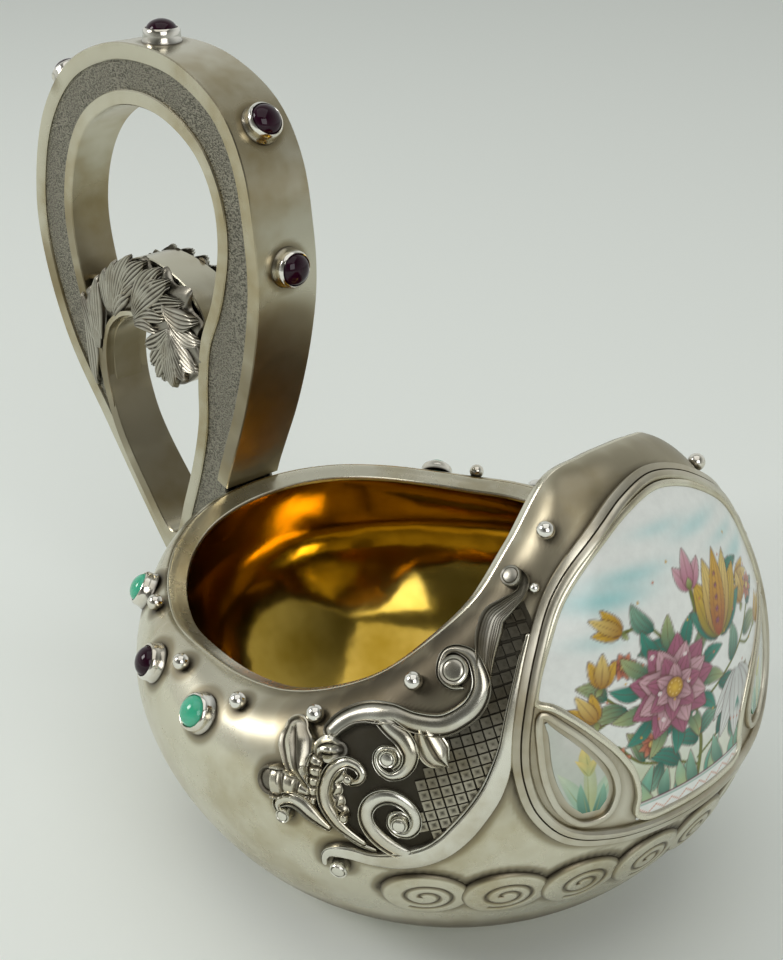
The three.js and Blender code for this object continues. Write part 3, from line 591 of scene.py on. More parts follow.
# The picture: a small plate domed with the prow, under white enamel that is fired in several coats.
# It carries a painted bouquet, and the rim round it holds it down.
enamel_thickness = 1.2 * mm
picture_seat = 0.3 * mm
picture_rows = [(-turn, share, turn, share) for turn, share in (
    (13.4, 0.405), (13.2, 0.458), (14.3, 0.505), (17.4, 0.56), (21.4, 0.618), (25.4, 0.682), (28.4, 0.728),
    (30.7, 0.76), (30.5, 0.792), (28.6, 0.834), (24.6, 0.88), (18, 0.9022), (9, 0.935), (2, 0.9475),
)]
picture_columns = 210
picture_steps = 230
picture_enamel = Finish("picture_enamel_paint", Roughness=0.24, Coat_Weight=0.1)
plaque_low = picture_seat / 2
plaque_high = picture_seat + enamel_thickness
picture = finish_piece(
    skin(plate_rings(picture_rows, picture_columns, picture_steps, plaque_low, plaque_high)),
    "painted_plaque", [picture_enamel], ["picture_enamel"],
)


wall_stretch = 1.09
wash_fall = 1.5
brush_edge = 0.35
line_half = 0.28
line_cover = 0.75
vein_cover = 0.5
vein_from = 0.12
petal_shade = 0.14
petal_fullness = 0.75
petal_bluntness = 0.8
paint_unevenness = 0.1


def brushed(depth):
    """How well a stroke covers places that lie so deep inside its edge."""
    return numpy.clip(depth / brush_edge, 0, 1)


def drawn(distance, half=line_half):
    """How well a fine line covers places so far from its middle."""
    return numpy.clip(1 - abs(distance) / half, 0, 1)


def graded(inner, outer, share):
    return numpy.asarray(inner) * (1 - share[:, None]) + numpy.asarray(outer) * share[:, None]


def around(middle, way, reach):
    """The place at a distance from a middle, in a direction in degrees."""
    angle = math.radians(way)
    return middle[0] + reach * math.cos(angle), middle[1] + reach * math.sin(angle)


class Painting:
    """Brushwork on a plaque. Places are millimetres across and up from the middle of its foot."""

    def __init__(self, piece, foot, ground):
        count = len(piece.data.vertices)
        spots = numpy.empty(count * 3)
        piece.data.vertices.foreach_get("co", spots)
        x, y, z = spots.reshape(count, 3).T / mm
        self.piece = piece
        self.u = numpy.hypot(x, y) * numpy.arctan2(y, x) - foot[0]
        self.v = (z - foot[1]) * wall_stretch
        self.colour = numpy.ones((count, 4))
        self.colour[:, :3] = ground

    def lay(self, cover, colour):
        cover = numpy.clip(cover, 0, 1)[:, None]
        self.colour[:, :3] += cover * (numpy.asarray(colour) - self.colour[:, :3])

    def wash(self, at, reach, colour, strength=1.0):
        near = numpy.hypot((self.u - at[0]) / reach[0], (self.v - at[1]) / reach[1])
        self.lay(strength * numpy.exp(-wash_fall * near ** 2), colour)

    def disc(self, at, radius, inner, outer, line=None):
        near = numpy.hypot(self.u - at[0], self.v - at[1])
        self.lay(brushed(radius - near), graded(inner, outer, numpy.clip(near / radius, 0, 1)))
        if line is not None:
            self.lay(drawn(near - radius) * line_cover, line)

    def petal(self, at, aim, length, width, inner, outer, line=None, bend=0.0, veins=0):
        """One stroke of the brush, round at its root and pointed where it is lifted."""
        angle = math.radians(aim)
        du, dv = self.u - at[0], self.v - at[1]
        run = (du * math.cos(angle) + dv * math.sin(angle)) / length
        inside = numpy.clip(run, 0, 1)
        side = dv * math.cos(angle) - du * math.sin(angle) - bend * numpy.sin(math.pi * inside)
        half = width / 2 * numpy.sin(math.pi * inside ** petal_fullness) ** petal_bluntness
        cover = brushed(half - abs(side)) * (run > 0) * (run < 1)
        middle = numpy.clip(1 - abs(side) / (half + 0.01), 0, 1)[:, None]
        self.lay(cover, graded(inner, outer, inside) * (1 - petal_shade + petal_shade * middle))
        if line is not None:
            self.lay(drawn(half - abs(side)) * line_cover * (run > 0.02) * (run < 1), line)
            for k in range(veins):
                place = (2 * (k + 1) / (veins + 1) - 1) * half
                self.lay(drawn(side - place) * cover * vein_cover * (run > vein_from), line)

    def stem(self, places, width, colour):
        corners = smooth_line([Vector((*place, 0)) for place in places], steps=8)
        nearest = numpy.full(self.u.shape, 1e3)
        for start, end in zip(corners, corners[1:]):
            way = end - start
            share = ((self.u - start.x) * way.x + (self.v - start.y) * way.y) / max(way.length_squared, 1e-9)
            share = numpy.clip(share, 0, 1)
            gap = numpy.hypot(self.u - start.x - way.x * share, self.v - start.y - way.y * share)
            nearest = numpy.minimum(nearest, gap)
        self.lay(brushed((width + brush_edge) / 2 - nearest), colour)

    def rosette(self, at, radius, petals, inner, outer, line, turn=0.0, width_share=0.8, veins=0):
        for k in range(petals):
            way = turn + 360 * k / petals
            self.petal(at, way, radius, radius * width_share, inner, outer, line, veins=veins)

    def keep(self):
        paint = self.piece.data.color_attributes.new("paint", "FLOAT_COLOR", "POINT")
        paint.data.foreach_set("color", self.colour.astype(numpy.float32).ravel())


def feed_paint(finish):
    """Shows the brushwork through clear enamel, with the slight unevenness of a fired colour."""
    paint = finish.node("ShaderNodeAttribute", {"attribute_name": "paint"}, output="Color")
    uneven = 1 - paint_unevenness + 2 * paint_unevenness * finish.grain(420, 3, 0.6)
    tint = finish.node("ShaderNodeCombineXYZ", {}, {0: uneven, 1: uneven, 2: uneven})
    colour = finish.node("ShaderNodeVectorMath", {"operation": "MULTIPLY"}, {0: paint, 1: tint})
    finish.feed("Base Color", colour)
    finish.relief(finish.grain(300, 2, 0.5), 0.05 * mm, 0.4)


# The bouquet on the plaque: a plum peony and a golden tulip on a tree of teal leaves, over a pale sky,
# with brick-red daisies beside them and a zigzag hem along the foot. It is painted in fired colours.
white = (0.76, 0.78, 0.745)
sky_teal = (0.22, 0.55, 0.56)
cream = (0.78, 0.76, 0.64)
plum = (0.11, 0.01, 0.04)
rose = (0.40, 0.12, 0.20)
blush = (0.66, 0.40, 0.44)
ochre = (0.34, 0.16, 0.01)
gold = (0.70, 0.44, 0.04)
straw = (0.80, 0.62, 0.2)
teal = (0.005, 0.10, 0.07)
sea = (0.04, 0.28, 0.20)
mint = (0.26, 0.48, 0.34)
olive = (0.13, 0.15, 0.02)
moss = (0.40, 0.46, 0.20)
pale_moss = (0.56, 0.62, 0.46)
brick = (0.30, 0.045, 0.015)
coral = (0.58, 0.22, 0.12)
umber = (0.10, 0.035, 0.02)
shade = (0.50, 0.52, 0.50)
scatter_step = 0.618
scatter_climb = 0.414

art = Painting(picture, (0, 52), white)
for at, reach, strength in (
    ((-22, 58), (13, 3.4), 0.75), ((-15, 62), (12, 2.6), 0.6), ((-26, 49), (9, 2.6), 0.35),
    ((8, 67), (11, 2.6), 0.5), ((24, 55), (9, 3.2), 0.55), ((19, 61), (9, 2.2), 0.4), ((-4, 70), (9, 2), 0.4),
):
    art.wash(at, reach, sky_teal, strength)
art.wash((0, 2), (44, 15), pale_moss, 0.9)
art.wash((-20, 12), (16, 9), moss, 0.5)
art.wash((22, 10), (15, 8), cream, 0.7)
art.stem(((0, 3), (1, 14), (-1, 26), (2, 40), (1, 54)), 1.3, olive)
for places in (
    ((0, 8), (-9, 13), (-18, 16), (-24, 22)), ((0, 10), (9, 14), (18, 17), (25, 24)),
    ((0, 20), (-10, 26), (-19, 29), (-27, 36)), ((0, 24), (10, 28), (19, 33), (25, 40)),
    ((1, 36), (-8, 44), (-14, 50), (-20, 50)), ((1, 40), (9, 48), (15, 51), (20, 48)),
    ((-19, 29), (-24, 30), (-29, 28)), ((19, 33), (23, 31), (29, 33)),
):
    art.stem(places, 0.8, olive)
for k, (at, aim, length) in enumerate((
    ((-6, 11), 150, 11), ((-12, 14), 232, 9), ((-17, 16), 118, 9), ((7, 13), 40, 11), ((13, 15), -48, 9),
    ((18, 17), 66, 9), ((-7, 24), 212, 9), ((-13, 28), 100, 8), ((-21, 31), 190, 9), ((8, 27), -32, 9),
    ((14, 30), 82, 9), ((21, 34), 4, 9), ((-6, 42), 172, 10), ((-12, 48), 120, 8), ((8, 47), 100, 9),
    ((13, 50), 20, 9), ((-24, 22), 200, 8), ((25, 24), -20, 8), ((0, 15), 160, 8), ((0, 17), 20, 8),
    ((-26, 35), 150, 7), ((25, 40), 30, 7),
)):
    art.petal(at, aim, length * 1.15, 5, teal, (sea, mint, moss)[k % 3], umber, 1.2 if k % 2 else -1.2, 3)
for k in range(17):
    place = (-28 + 3.5 * k, 1 + 1.5 * (k % 2))
    aim = 90 + 26 * math.sin(1.9 * k)
    length = 9 + 4 * (k * scatter_step % 1)
    art.petal(place, aim, length, 4, (sea, moss, teal)[k % 3], mint, umber, 0.8)
for at, radius in (
    ((-25, 18), 4.6), ((-15, 20), 3.8), ((26, 20), 4.2), ((-21, 42), 3.6), ((27, 44), 3.6), ((14, 22), 3.2),
):
    art.rosette(at, radius, 8, brick, coral, umber, 11, 0.6)
    art.disc(at, radius * 0.3, straw, ochre, umber)
for at, aim in (
    ((-29, 30), 120), ((-20, 50), 150), ((20, 49), -10), ((30, 33), 30), ((-27, 38), 80), ((22, 42), 96),
):
    for way in (-26, 26, 0):
        art.petal(at, aim + way, 7.5 if way else 8.5, 3.6, ochre, gold if way else straw, umber, veins=1)
    art.petal(at, aim + 150, 2.4, 1.8, olive, moss, umber)
peony = (-7.5, 32.5)
for k in range(14):
    way = 360 * k / 14 + 12
    art.petal(around(peony, way, 9), way, 9.5, 4.4, teal, (sea, moss)[k % 2], umber, 0.8, 1)
for petals, radius, turn, inner, outer, share in (
    (9, 13.5, 0, plum, rose, 0.62), (8, 11.4, 20, plum, blush, 0.62), (7, 8.8, 4, plum, rose, 0.66),
    (6, 6.4, 25, plum, blush, 0.7),
):
    art.rosette(peony, radius, petals, inner, outer, umber, turn, share, 2)
for k in range(18):
    art.disc(around(peony, 60.16 * k, (4.6, 8.2, 11.2)[k % 3]), 0.62, blush, white)
art.disc(peony, 2.7, gold, ochre, umber)
for k in range(9):
    art.disc(around(peony, 40.1 * k, 1.7), 0.35, straw, straw)
tulip = (9.5, 39)
for way, length, width, inner, outer in (
    (-52, 14, 6, teal, sea), (52, 14, 6, teal, sea), (-30, 18, 8, olive, gold), (30, 18, 8, olive, gold),
    (-13, 20.5, 7, ochre, straw), (13, 20.5, 7, ochre, straw), (0, 21.5, 6.6, brick, gold),
):
    art.petal(tulip, 84 + way, length, width, inner, outer, umber, veins=3)
for k in range(5):
    art.disc((tulip[0] + 0.3 * k, tulip[1] + 4 + 2.8 * k), 0.75 - 0.06 * k, plum, rose, umber)
lily = (17, 27)
for way, length, width in ((-46, 15, 5.4), (46, 15, 5.4), (-24, 18, 6.6), (24, 18, 6.6), (0, 19.5, 7)):
    art.petal(lily, 266 + way, length, width, shade, white, umber, veins=2)
for k in range(5):
    art.petal((lily[0] + 0.2, lily[1] - 8), 246 + 10 * k, 5.2, 0.7, sea, teal)
    art.disc((lily[0] - 3.4 + 1.7 * k, lily[1] - 13 - 0.5 * (2 - abs(k - 2))), 0.5, coral, brick)
bud = (1, 54)
for way, length in ((-34, 8), (34, 8), (0, 10)):
    art.petal(bud, 90 + way, length, 4.2, rose, blush, umber, veins=1)
art.petal(bud, 90, 3, 2.4, olive, moss, umber)
for k in range(26):
    at = (-28 + 56.26 * (k * scatter_step % 1), 16 + 48 * (k * scatter_climb % 1))
    art.disc(at, 0.5, coral if k % 2 else gold, brick if k % 2 else ochre)
hem_height = 4.4
hem_line_gap = 0.9
hem_tooth = 2.4
art.lay(brushed(hem_height - art.v), white)
art.lay(drawn(art.v - hem_height, 0.5), plum)
art.lay(drawn(art.v - hem_height + hem_line_gap, 0.3), sea)
zigzag = 1.5 + 0.55 * numpy.arcsin(numpy.sin(art.u * math.pi / hem_tooth))
art.lay(drawn(art.v - zigzag, 0.35), coral)
art.keep()
feed_paint(picture_enamel)

# The drops: a leaf spray in pale green enamel on each side under the picture. Each is a small fired
# plate, held by a narrow frame of its own that is soldered to the bed.
drop_frame_width = 1.7 * mm
drop_frame_rise = 2.1 * mm
drop_frame_shares = (
    (30.2, 0.7293), (26, 0.6659), (21.8, 0.5944), (18.4, 0.531), (17.4, 0.4782), (19.4, 0.4422),
    (23.4, 0.4518), (27, 0.5018), (29.4, 0.5707), (30.6, 0.6521),
)
# The dark column is painted shade at the frame's foot, with tarnish.
drop_section = (
    (1.0, -0.1, 0.8), (1.0, 0.6, 0.3), (0.85, 0.9, 0), (0.5, 1, 0), (0, 1, 0), (-0.5, 1, 0), (-0.85, 0.9, 0),
    (-1.0, 0.6, 0.3), (-1.0, -0.1, 0.8),
)
finish_pair(
    strip(drop_frame_shares, 120, drop_frame_width, drop_frame_rise, drop_section, closed=True),
    "drop_surround", [satin_silver], ["drop_frame"],
)
drop_rows = (
    (20.6, 0.4629, 23.6, 0.475), (19.2, 0.4817, 25.8, 0.5102), (19.2, 0.5125, 27.4, 0.5527),
    (20.6, 0.5477, 28.4, 0.5925), (22.8, 0.5892, 28.9, 0.6295), (25.6, 0.6391, 29.1, 0.6646),
    (27.8, 0.6774, 29.3, 0.6852), (28.8, 0.696, 29.6, 0.699), (29.4, 0.708, 29.8, 0.7095),
)
leaf_enamel = Finish("leaf_spray_enamel", Roughness=0.2, Coat_Weight=0.2)
drop_plaques = finish_pair(
    skin(plate_rings(drop_rows, 80, 130, plaque_low, plaque_high)),
    "drop_plaque", [leaf_enamel], ["drop_enamel"],
)
drop_ground = (0.50, 0.54, 0.47)
drop_haze = (0.62, 0.60, 0.56)
spray_leaves = (
    ((-1, 3), 118, 14, 4, mint, pale_moss), ((1, 3), 62, 14, 4, mint, pale_moss),
    ((0, 2), 92, 20, 3.6, moss, pale_moss), ((-3, 1), 150, 10, 3.6, sea, mint),
    ((3, 1), 30, 10, 3.6, sea, mint), ((-2, 2), 134, 12, 3.4, sea, moss),
    ((2, 2), 46, 12, 3.4, sea, moss), ((0, 0), 100, 12, 3.2, teal, mint),
    ((1, 0), 76, 11, 3.2, teal, mint), ((-4, 0), 116, 8, 3, sea, mint), ((4, 0), 64, 8, 3, sea, mint),
    ((0, 14), 96, 8, 3.2, moss, straw), ((0, 13), 124, 6, 2.4, moss, straw),
    ((0, 13), 62, 6, 2.4, moss, straw),
)
for plaque in drop_plaques:
    hand = 1 if plaque.name.endswith("left") else -1
    spray = Painting(plaque, (hand * 31.5, 55), drop_ground)
    spray.wash((0, 24), (9, 8), drop_haze, 0.8)
    spray.wash((0, 2), (9, 7), mint, 0.6)
    for k, (at, aim, length, width, inner, outer) in enumerate(spray_leaves):
        spray.petal(at, aim, length, width, inner, outer, None, 0.6 if k % 2 else -0.6)
        spray.petal(at, aim, length * 0.8, 0.5, olive, moss)
    spray.keep()
feed_paint(leaf_enamel)

# The flank: scrolls with rolled edges, cast in silver, chased along their grooves and brightened on
# the high places. They are soldered on a dark ground that is chased as a lattice.
scroll_width = 5.8 * mm
scroll_rise = 2.6 * mm
border_rise = 2 * mm
scroll_silver = silver_finish("scroll_silver", (0.74, 0.72, 0.63, 1), (0.54, 0.49, 0.37, 1), (0.15, 0.26), 60)


def both_halves(half):
    return tuple(half) + tuple((-share, up, dark) for share, up, dark in half[-2::-1])


# In these sections the dark column is painted shade at the foot and in the grooves and striations, with
# tarnish.
rolled_section = both_halves((
    (1.0, -0.1, 0.8), (1.0, 0.45, 0.5), (0.98, 0.78, 0.1), (0.92, 0.9, 0), (0.86, 0.88, 0),
    (0.8, 0.72, 0.5), (0.75, 0.6, 0.95), (0.68, 0.66, 0.55), (0.55, 0.76, 0.2), (0.28, 0.86, 0.06),
    (0, 0.9, 0),
))
border_section = (
    (1.0, -0.1, 0.9), (1.0, 0.6, 0.4), (0.95, 0.84, 0), (0.86, 0.9, 0), (0.81, 0.72, 0.8), (0.76, 0.64, 0.95),
    (0.7, 0.84, 0.3), (0.6, 0.92, 0), (0.3, 0.98, 0), (-0.3, 1, 0), (-0.8, 0.92, 0), (-0.95, 0.74, 0.05),
    (-1.0, 0.35, 0.3), (-1.0, -0.1, 0.7),
)
leaf_section = both_halves((
    (1.0, -0.1, 0.8), (1.0, 0.35, 0.3), (0.95, 0.56, 0), (0.86, 0.6, 0.05), (0.74, 0.45, 0.7),
    (0.6, 0.56, 0.3), (0.4, 0.8, 0), (0.2, 0.85, 0), (0.06, 0.62, 0.6), (0, 0.55, 0.9),
))
striated_section = both_halves((
    (1.0, -0.1, 0.8), (1.0, 0.5, 0.3), (0.95, 0.85, 0), (0.87, 0.94, 0), (0.79, 0.8, 0.35), (0.72, 0.6, 0.9),
    (0.62, 0.66, 0.25), (0.53, 0.54, 0.75), (0.43, 0.62, 0.2), (0.33, 0.5, 0.75), (0.23, 0.58, 0.2),
    (0.12, 0.48, 0.75), (0, 0.56, 0.25),
))
stem_shares = (
    (30.4, 0.9614, 0.4), (31.2, 0.9497, 0.42), (34.4, 0.954, 0.72), (36.9, 0.9571, 0.96),
    (38.2, 0.9416, 1.0), (38.8, 0.9239, 0.86), (39.2, 0.9002, 0.66), (39.6, 0.8713, 0.54),
    (40.4, 0.8482, 0.44),
)
sweep_shares = (
    (46.7, 0.9519, 0.26), (46.1, 0.9674, 0.32), (43.8, 0.9602, 0.34), (41.4, 0.9325, 0.5),
    (40.4, 0.9039, 0.6), (39.9, 0.8652, 0.78), (41.2, 0.8387, 0.88), (43.6, 0.8325, 0.9),
    (46.4, 0.8384, 0.92), (50.6, 0.8728, 0.84), (54.6, 0.9142, 0.8), (57, 0.9291, 0.92),
    (59.7, 0.9422, 0.88), (62.4, 0.945, 0.8), (64.4, 0.9372, 0.78), (65.7, 0.925, 0.7),
)
low_volute_shares = (
    (56.6, 0.9161, 0.66), (54.9, 0.8887, 0.74), (52.7, 0.8523, 0.8), (51.5, 0.817, 0.74),
    (51.4, 0.7949, 0.64), (52, 0.7784, 0.54), (53.2, 0.7709, 0.44), (54.8, 0.7764, 0.35),
    (56.3, 0.7987, 0.3), (57.1, 0.8231, 0.28), (57.1, 0.8412, 0.26), (56.3, 0.8495, 0.25),
    (55.2, 0.8445, 0.24),
)
petal_shares = ((49.4, 0.852, 0.8), (48.1, 0.806, 1.25), (47, 0.7739, 1.15), (45.4, 0.7405, 0.2))
border_shares = (
    (31.4, 0.882, 0.24), (32.8, 0.852, 0.34), (33.9, 0.818, 0.42), (34.8, 0.785, 0.5), (35.5, 0.75, 0.58),
    (36.1, 0.7119, 0.68), (37.1, 0.6735, 0.84), (38.6, 0.6337, 0.94), (41, 0.5962, 1.0),
    (43.3, 0.5676, 1.04), (45.7, 0.5446, 0.98), (48.4, 0.5326, 0.96), (51.4, 0.5309, 0.94),
    (54.4, 0.5359, 0.84), (57.6, 0.5489, 0.66), (61.2, 0.5749, 0.66), (63.4, 0.5804, 0.6),
    (65, 0.576, 0.44), (66, 0.5542, 0.3), (66.2, 0.529, 0.24),
)
bottom_volute_shares = (
    (51.8, 0.5502, 0.6), (54, 0.5789, 0.7), (56.5, 0.6238, 0.7), (58.1, 0.6701, 0.66),
    (58.3, 0.7033, 0.64), (57.4, 0.7244, 0.66), (55.8, 0.7294, 0.66), (54.1, 0.7197, 0.62),
    (52.3, 0.6963, 0.56), (50.9, 0.6651, 0.54), (50.3, 0.6357, 0.5), (50.6, 0.6138, 0.44),
    (51.7, 0.6051, 0.36), (53.2, 0.6147, 0.26), (54.4, 0.6399, 0.24), (54.6, 0.6588, 0.22),
)


def turned(profile, foot, axis, steps=40):
    """A turned piece. Its profile is a list of radius, height and dark, from the middle of its top down."""
    mesh = bmesh.new()
    shade_and_tarnish = mesh.verts.layers.float.new("shade_and_tarnish")
    row = []
    for radius, height, dark in profile:
        vert = mesh.verts.new((radius, 0, height))
        vert[shade_and_tarnish] = dark
        row.append(vert)
    edges = [mesh.edges.new(pair) for pair in zip(row, row[1:])]
    bmesh.ops.spin(
        mesh, geom=row + edges, cent=(0, 0, 0), axis=(0, 0, 1),
        angle=2 * math.pi, steps=steps, use_merge=True,
    )
    bmesh.ops.remove_doubles(mesh, verts=mesh.verts, dist=weld)
    bmesh.ops.recalc_face_normals(mesh, faces=mesh.faces)
    way = Vector((0, 0, 1)).rotation_difference(axis).to_matrix().to_4x4()
    bmesh.ops.transform(mesh, matrix=Matrix.Translation(foot) @ way, verts=mesh.verts)
    return mesh


def spot_on_wall(turn, height):
    level = level_at(turn, height)
    return wall_point(turn, level), wall_normal(turn, level)


def spot_beside(place, way, distance):
    """The spot on the wall at a distance from a place: way 0 runs on round the bowl, and 90 runs up."""
    turn, height = place
    stretch = on_wall(turn + turn_step, height) - on_wall(turn - turn_step, height)
    per_degree = stretch.length / (2 * turn_step)
    per_height = (on_wall(turn, height + mm) - on_wall(turn, height - mm)).length / (2 * mm)
    angle = math.radians(way)
    return (
        turn + distance * math.cos(angle) / per_degree,
        height + distance * math.sin(angle) / per_height,
    )


eye_rise = 2.8 * mm
# The dark column is painted shade in the ring groove and round the foot, with tarnish.
eye_shares = (
    (0, 1, 0), (0.5, 0.98, 0), (0.66, 0.93, 0.1), (0.72, 0.84, 0.85), (0.78, 0.92, 0.1), (0.9, 0.96, 0),
    (0.98, 0.86, 0), (1, 0.7, 0.05), (1, -0.1, 0.9), (0, -0.1, 0.9),
)


def eye_centre(end, way, reach_share, diameter):
    return spot_beside((end[0], height_at(end[0], end[1])), way, reach_share * diameter / 2)


def eye(end, way, reach_share, diameter):
    """The round boss in which a scroll ends."""
    radius = diameter / 2
    foot, normal = spot_on_wall(*eye_centre(end, way, reach_share, diameter))
    mark_shade_and_tarnish(foot, radius)
    profile = [(share * radius, up * eye_rise, dark) for share, up, dark in eye_shares]
    return turned(profile, foot, normal)


def round_eye(end, ways, reach, width_shares):
    """Places of a strip that winds round an eye, for the ways in degrees."""
    rows = []
    for k, way in enumerate(ways):
        turn, height = spot_beside(eye_centre(*end), way, reach)
        share = k / (len(ways) - 1)
        width = width_shares[0] + (width_shares[1] - width_shares[0]) * share
        rows.append((turn, height / lip_point(turn).z, width))
    return tuple(rows)


head_eye = (stem_shares[0], -8.6, 1.047, 4.8 * mm)
high_eye = (sweep_shares[0], 180, 1.01, 6.6 * mm)
low_eye = (low_volute_shares[-1], -97.2, 1.077, 3.9 * mm)
bottom_eye = (bottom_volute_shares[-1], 189.5, 1.205, 3.9 * mm)
wound_stem = round_eye(head_eye, (108, 140), 2.6 * mm, (0.16, 0.32)) + stem_shares
wound_sweep = round_eye(high_eye, (-115, -75, -30), 3.9 * mm, (0.16, 0.26)) + sweep_shares[1:]
wound_low = low_volute_shares + round_eye(low_eye, (120, 160, 200, 240), 2.4 * mm, (0.24, 0.14))
wound_bottom = bottom_volute_shares + round_eye(bottom_eye, (48, 90, 135, 180, 215), 2.5 * mm, (0.24, 0.14))

finish_pair(joined(
    strip(border_shares, 130, scroll_width, border_rise, border_section),
    strip(wound_bottom, 150, scroll_width, scroll_rise, rolled_section),
    eye(*bottom_eye),
    eye(border_shares[-1], 178, 1.75, 4.4 * mm),
), "border_casting", [scroll_silver], ["border_scroll"])
front_castings = finish_pair(joined(
    strip(wound_stem, 120, scroll_width, scroll_rise, striated_section),
    strip(wound_sweep, 190, scroll_width, scroll_rise, rolled_section),
    strip(wound_low, 120, scroll_width, scroll_rise, rolled_section),
    strip(petal_shares, 40, scroll_width, scroll_rise, leaf_section),
    eye(*head_eye),
    eye(*high_eye),
    eye(*low_eye),
), "front_casting", [scroll_silver], ["front_scroll"])

# The C scroll stands behind the volutes and is cast in one with its tail. Its inner edge is cut in
# wavelets that end in an eye, and it is soldered on the ground.
c_scroll_shares = (
    (61, 0.786, 0.26), (59.8, 0.7872, 0.3), (59.3, 0.8021, 0.38), (60.2, 0.8256, 0.42),
    (62, 0.8429, 0.46), (63.5, 0.8418, 0.5), (64.8, 0.8275, 0.52), (65.5, 0.801, 0.54),
    (65.7, 0.7714, 0.56), (65.2, 0.738, 0.58), (64.2, 0.707, 0.56), (62.9, 0.6747, 0.5),
    (61, 0.641, 0.4), (58.8, 0.6072, 0.3),
)
wavelet_shares = (
    (62.6, 0.826, 0.2), (63.2, 0.812, 0.56), (64.1, 0.795, 0.4), (63.9, 0.778, 0.72), (64.2, 0.76, 0.42),
    (63.4, 0.744, 0.74), (63.4, 0.726, 0.42), (62.4, 0.712, 0.56), (62.2, 0.7, 0.3),
)
tail_shares = ((63.2, 0.665, 0.16), (61.4, 0.631, 0.22), (59.4, 0.602, 0.24), (57, 0.576, 0.16))
wavelet_rise = 1.9 * mm
finish_pair(joined(
    strip(c_scroll_shares, 130, scroll_width, scroll_rise, rolled_section),
    strip(wavelet_shares, 90, scroll_width, wavelet_rise, leaf_section),
    strip(tail_shares, 40, scroll_width, wavelet_rise, rolled_section),
    eye(c_scroll_shares[0], 60, 0.9, 2.4 * mm),
    eye(wavelet_shares[-1], 200, 0.4, 2.4 * mm),
), "c_casting", [scroll_silver], ["c_scroll"])

# The shell leaf: fluted lobes fanned out behind the C scroll, with a hooked lobe under them. It is one
# casting of silver, soldered to the bowl at the end of the ground.
leaf_rise = 3.4 * mm
# The dark column is painted shade at the foot and between the ribs, with tarnish.
ribbed_section = both_halves((
    (1.0, -0.1, 0.8), (1.0, 0.4, 0.3), (0.9, 0.72, 0), (0.68, 0.82, 0), (0.46, 0.62, 0.3), (0.38, 0.5, 0.85),
    (0.3, 0.66, 0.3), (0.15, 0.95, 0), (0, 1, 0),
))
bud_shares = ((67.4, 0.8639, 0.3), (66.9, 0.8822, 0.8), (65.4, 0.8827, 1.15), (63.6, 0.8756, 0.7))
tall_lobe_shares = (
    (67.8, 0.7776, 0.3), (69.4, 0.8106, 0.5), (70.8, 0.8479, 1.15), (71.6, 0.8873, 1.55),
    (72.2, 0.9154, 1.6), (72.5, 0.936, 1.15))
side_lobe_shares = (
    (67.8, 0.7678, 0.3), (69.4, 0.7825, 0.55), (70.8, 0.7927, 0.9), (72.6, 0.7996, 1.1),
    (74.4, 0.8015, 1.35), (75.8, 0.8029, 1.2))
hook_shares = (
    (64.6, 0.668, 0.3), (66.2, 0.693, 0.5), (67.6, 0.717, 0.68), (69.4, 0.7445, 0.72), (71.2, 0.757, 0.66),
    (72.8, 0.7525, 0.56), (73.9, 0.735, 0.42), (73.6, 0.7145, 0.3))
hook_wavelet_shares = (
    (66.6, 0.682, 0.3), (67.9, 0.704, 0.5), (69.3, 0.724, 0.55), (70.8, 0.736, 0.5), (72, 0.735, 0.3))
rib_row_shares = (
    (67.3, 0.7063, 0.24), (67.5, 0.7564, 0.34), (67.6, 0.793, 0.46), (67.5, 0.8235, 0.6),
    (67.6, 0.8519, 0.7), (67.2, 0.8693, 0.6))
finish_pair(joined(
    strip(bud_shares, 60, scroll_width, leaf_rise, ribbed_section, bulges=1),
    strip(tall_lobe_shares, 60, scroll_width, leaf_rise, leaf_section),
    strip(side_lobe_shares, 80, scroll_width, leaf_rise, rolled_section, bulges=3),
    strip(hook_shares, 90, scroll_width, leaf_rise, rolled_section),
    strip(hook_wavelet_shares, 60, scroll_width, wavelet_rise, leaf_section, bulges=4),
    strip(rib_row_shares, 90, scroll_width, leaf_rise, rolled_section, bulges=6),
    eye(hook_shares[-1], 200, 0.8, 3.6 * mm),
), "shell_casting", [scroll_silver], ["shell_leaf"])

# The ground of the flank: a plate of sheet silver soldered under the scrolls, matted and black with
# age, and chased in front as a lattice of small dimpled squares.
ground_low = 0.1 * mm
ground_high = 0.6 * mm
ground_dark = 0.9
ground_rows = (
    (46.5, 0.553, 51.5, 0.545), (43.5, 0.57, 56.5, 0.6), (40.8, 0.6, 59.6, 0.635), (38.4, 0.64, 61.6, 0.668),
    (36.4, 0.69, 63.6, 0.705), (35.2, 0.73, 64.8, 0.74), (34.4, 0.765, 65, 0.775), (33.5, 0.8, 64.4, 0.805),
    (33.1, 0.812, 46.4, 0.83), (32.1, 0.845, 41.2, 0.85), (30.9, 0.88, 39.8, 0.88), (30.4, 0.9, 39.3, 0.905),
    (31, 0.925, 37, 0.935), (31.4, 0.943, 35.4, 0.95),
)
arch_rows = (
    (46, 0.8, 64.4, 0.8), (47.5, 0.843, 65.2, 0.835), (50, 0.868, 65.2, 0.87), (52.6, 0.892, 64.6, 0.9),
    (55, 0.914, 62.4, 0.93), (57.2, 0.929, 60, 0.938),
)
ground_silver = silver_finish(
    "ground_silver", (0.46, 0.43, 0.34, 1), (0.3, 0.26, 0.17, 1), (0.4, 0.55), 90, (0.022, 0.018, 0.012, 1))
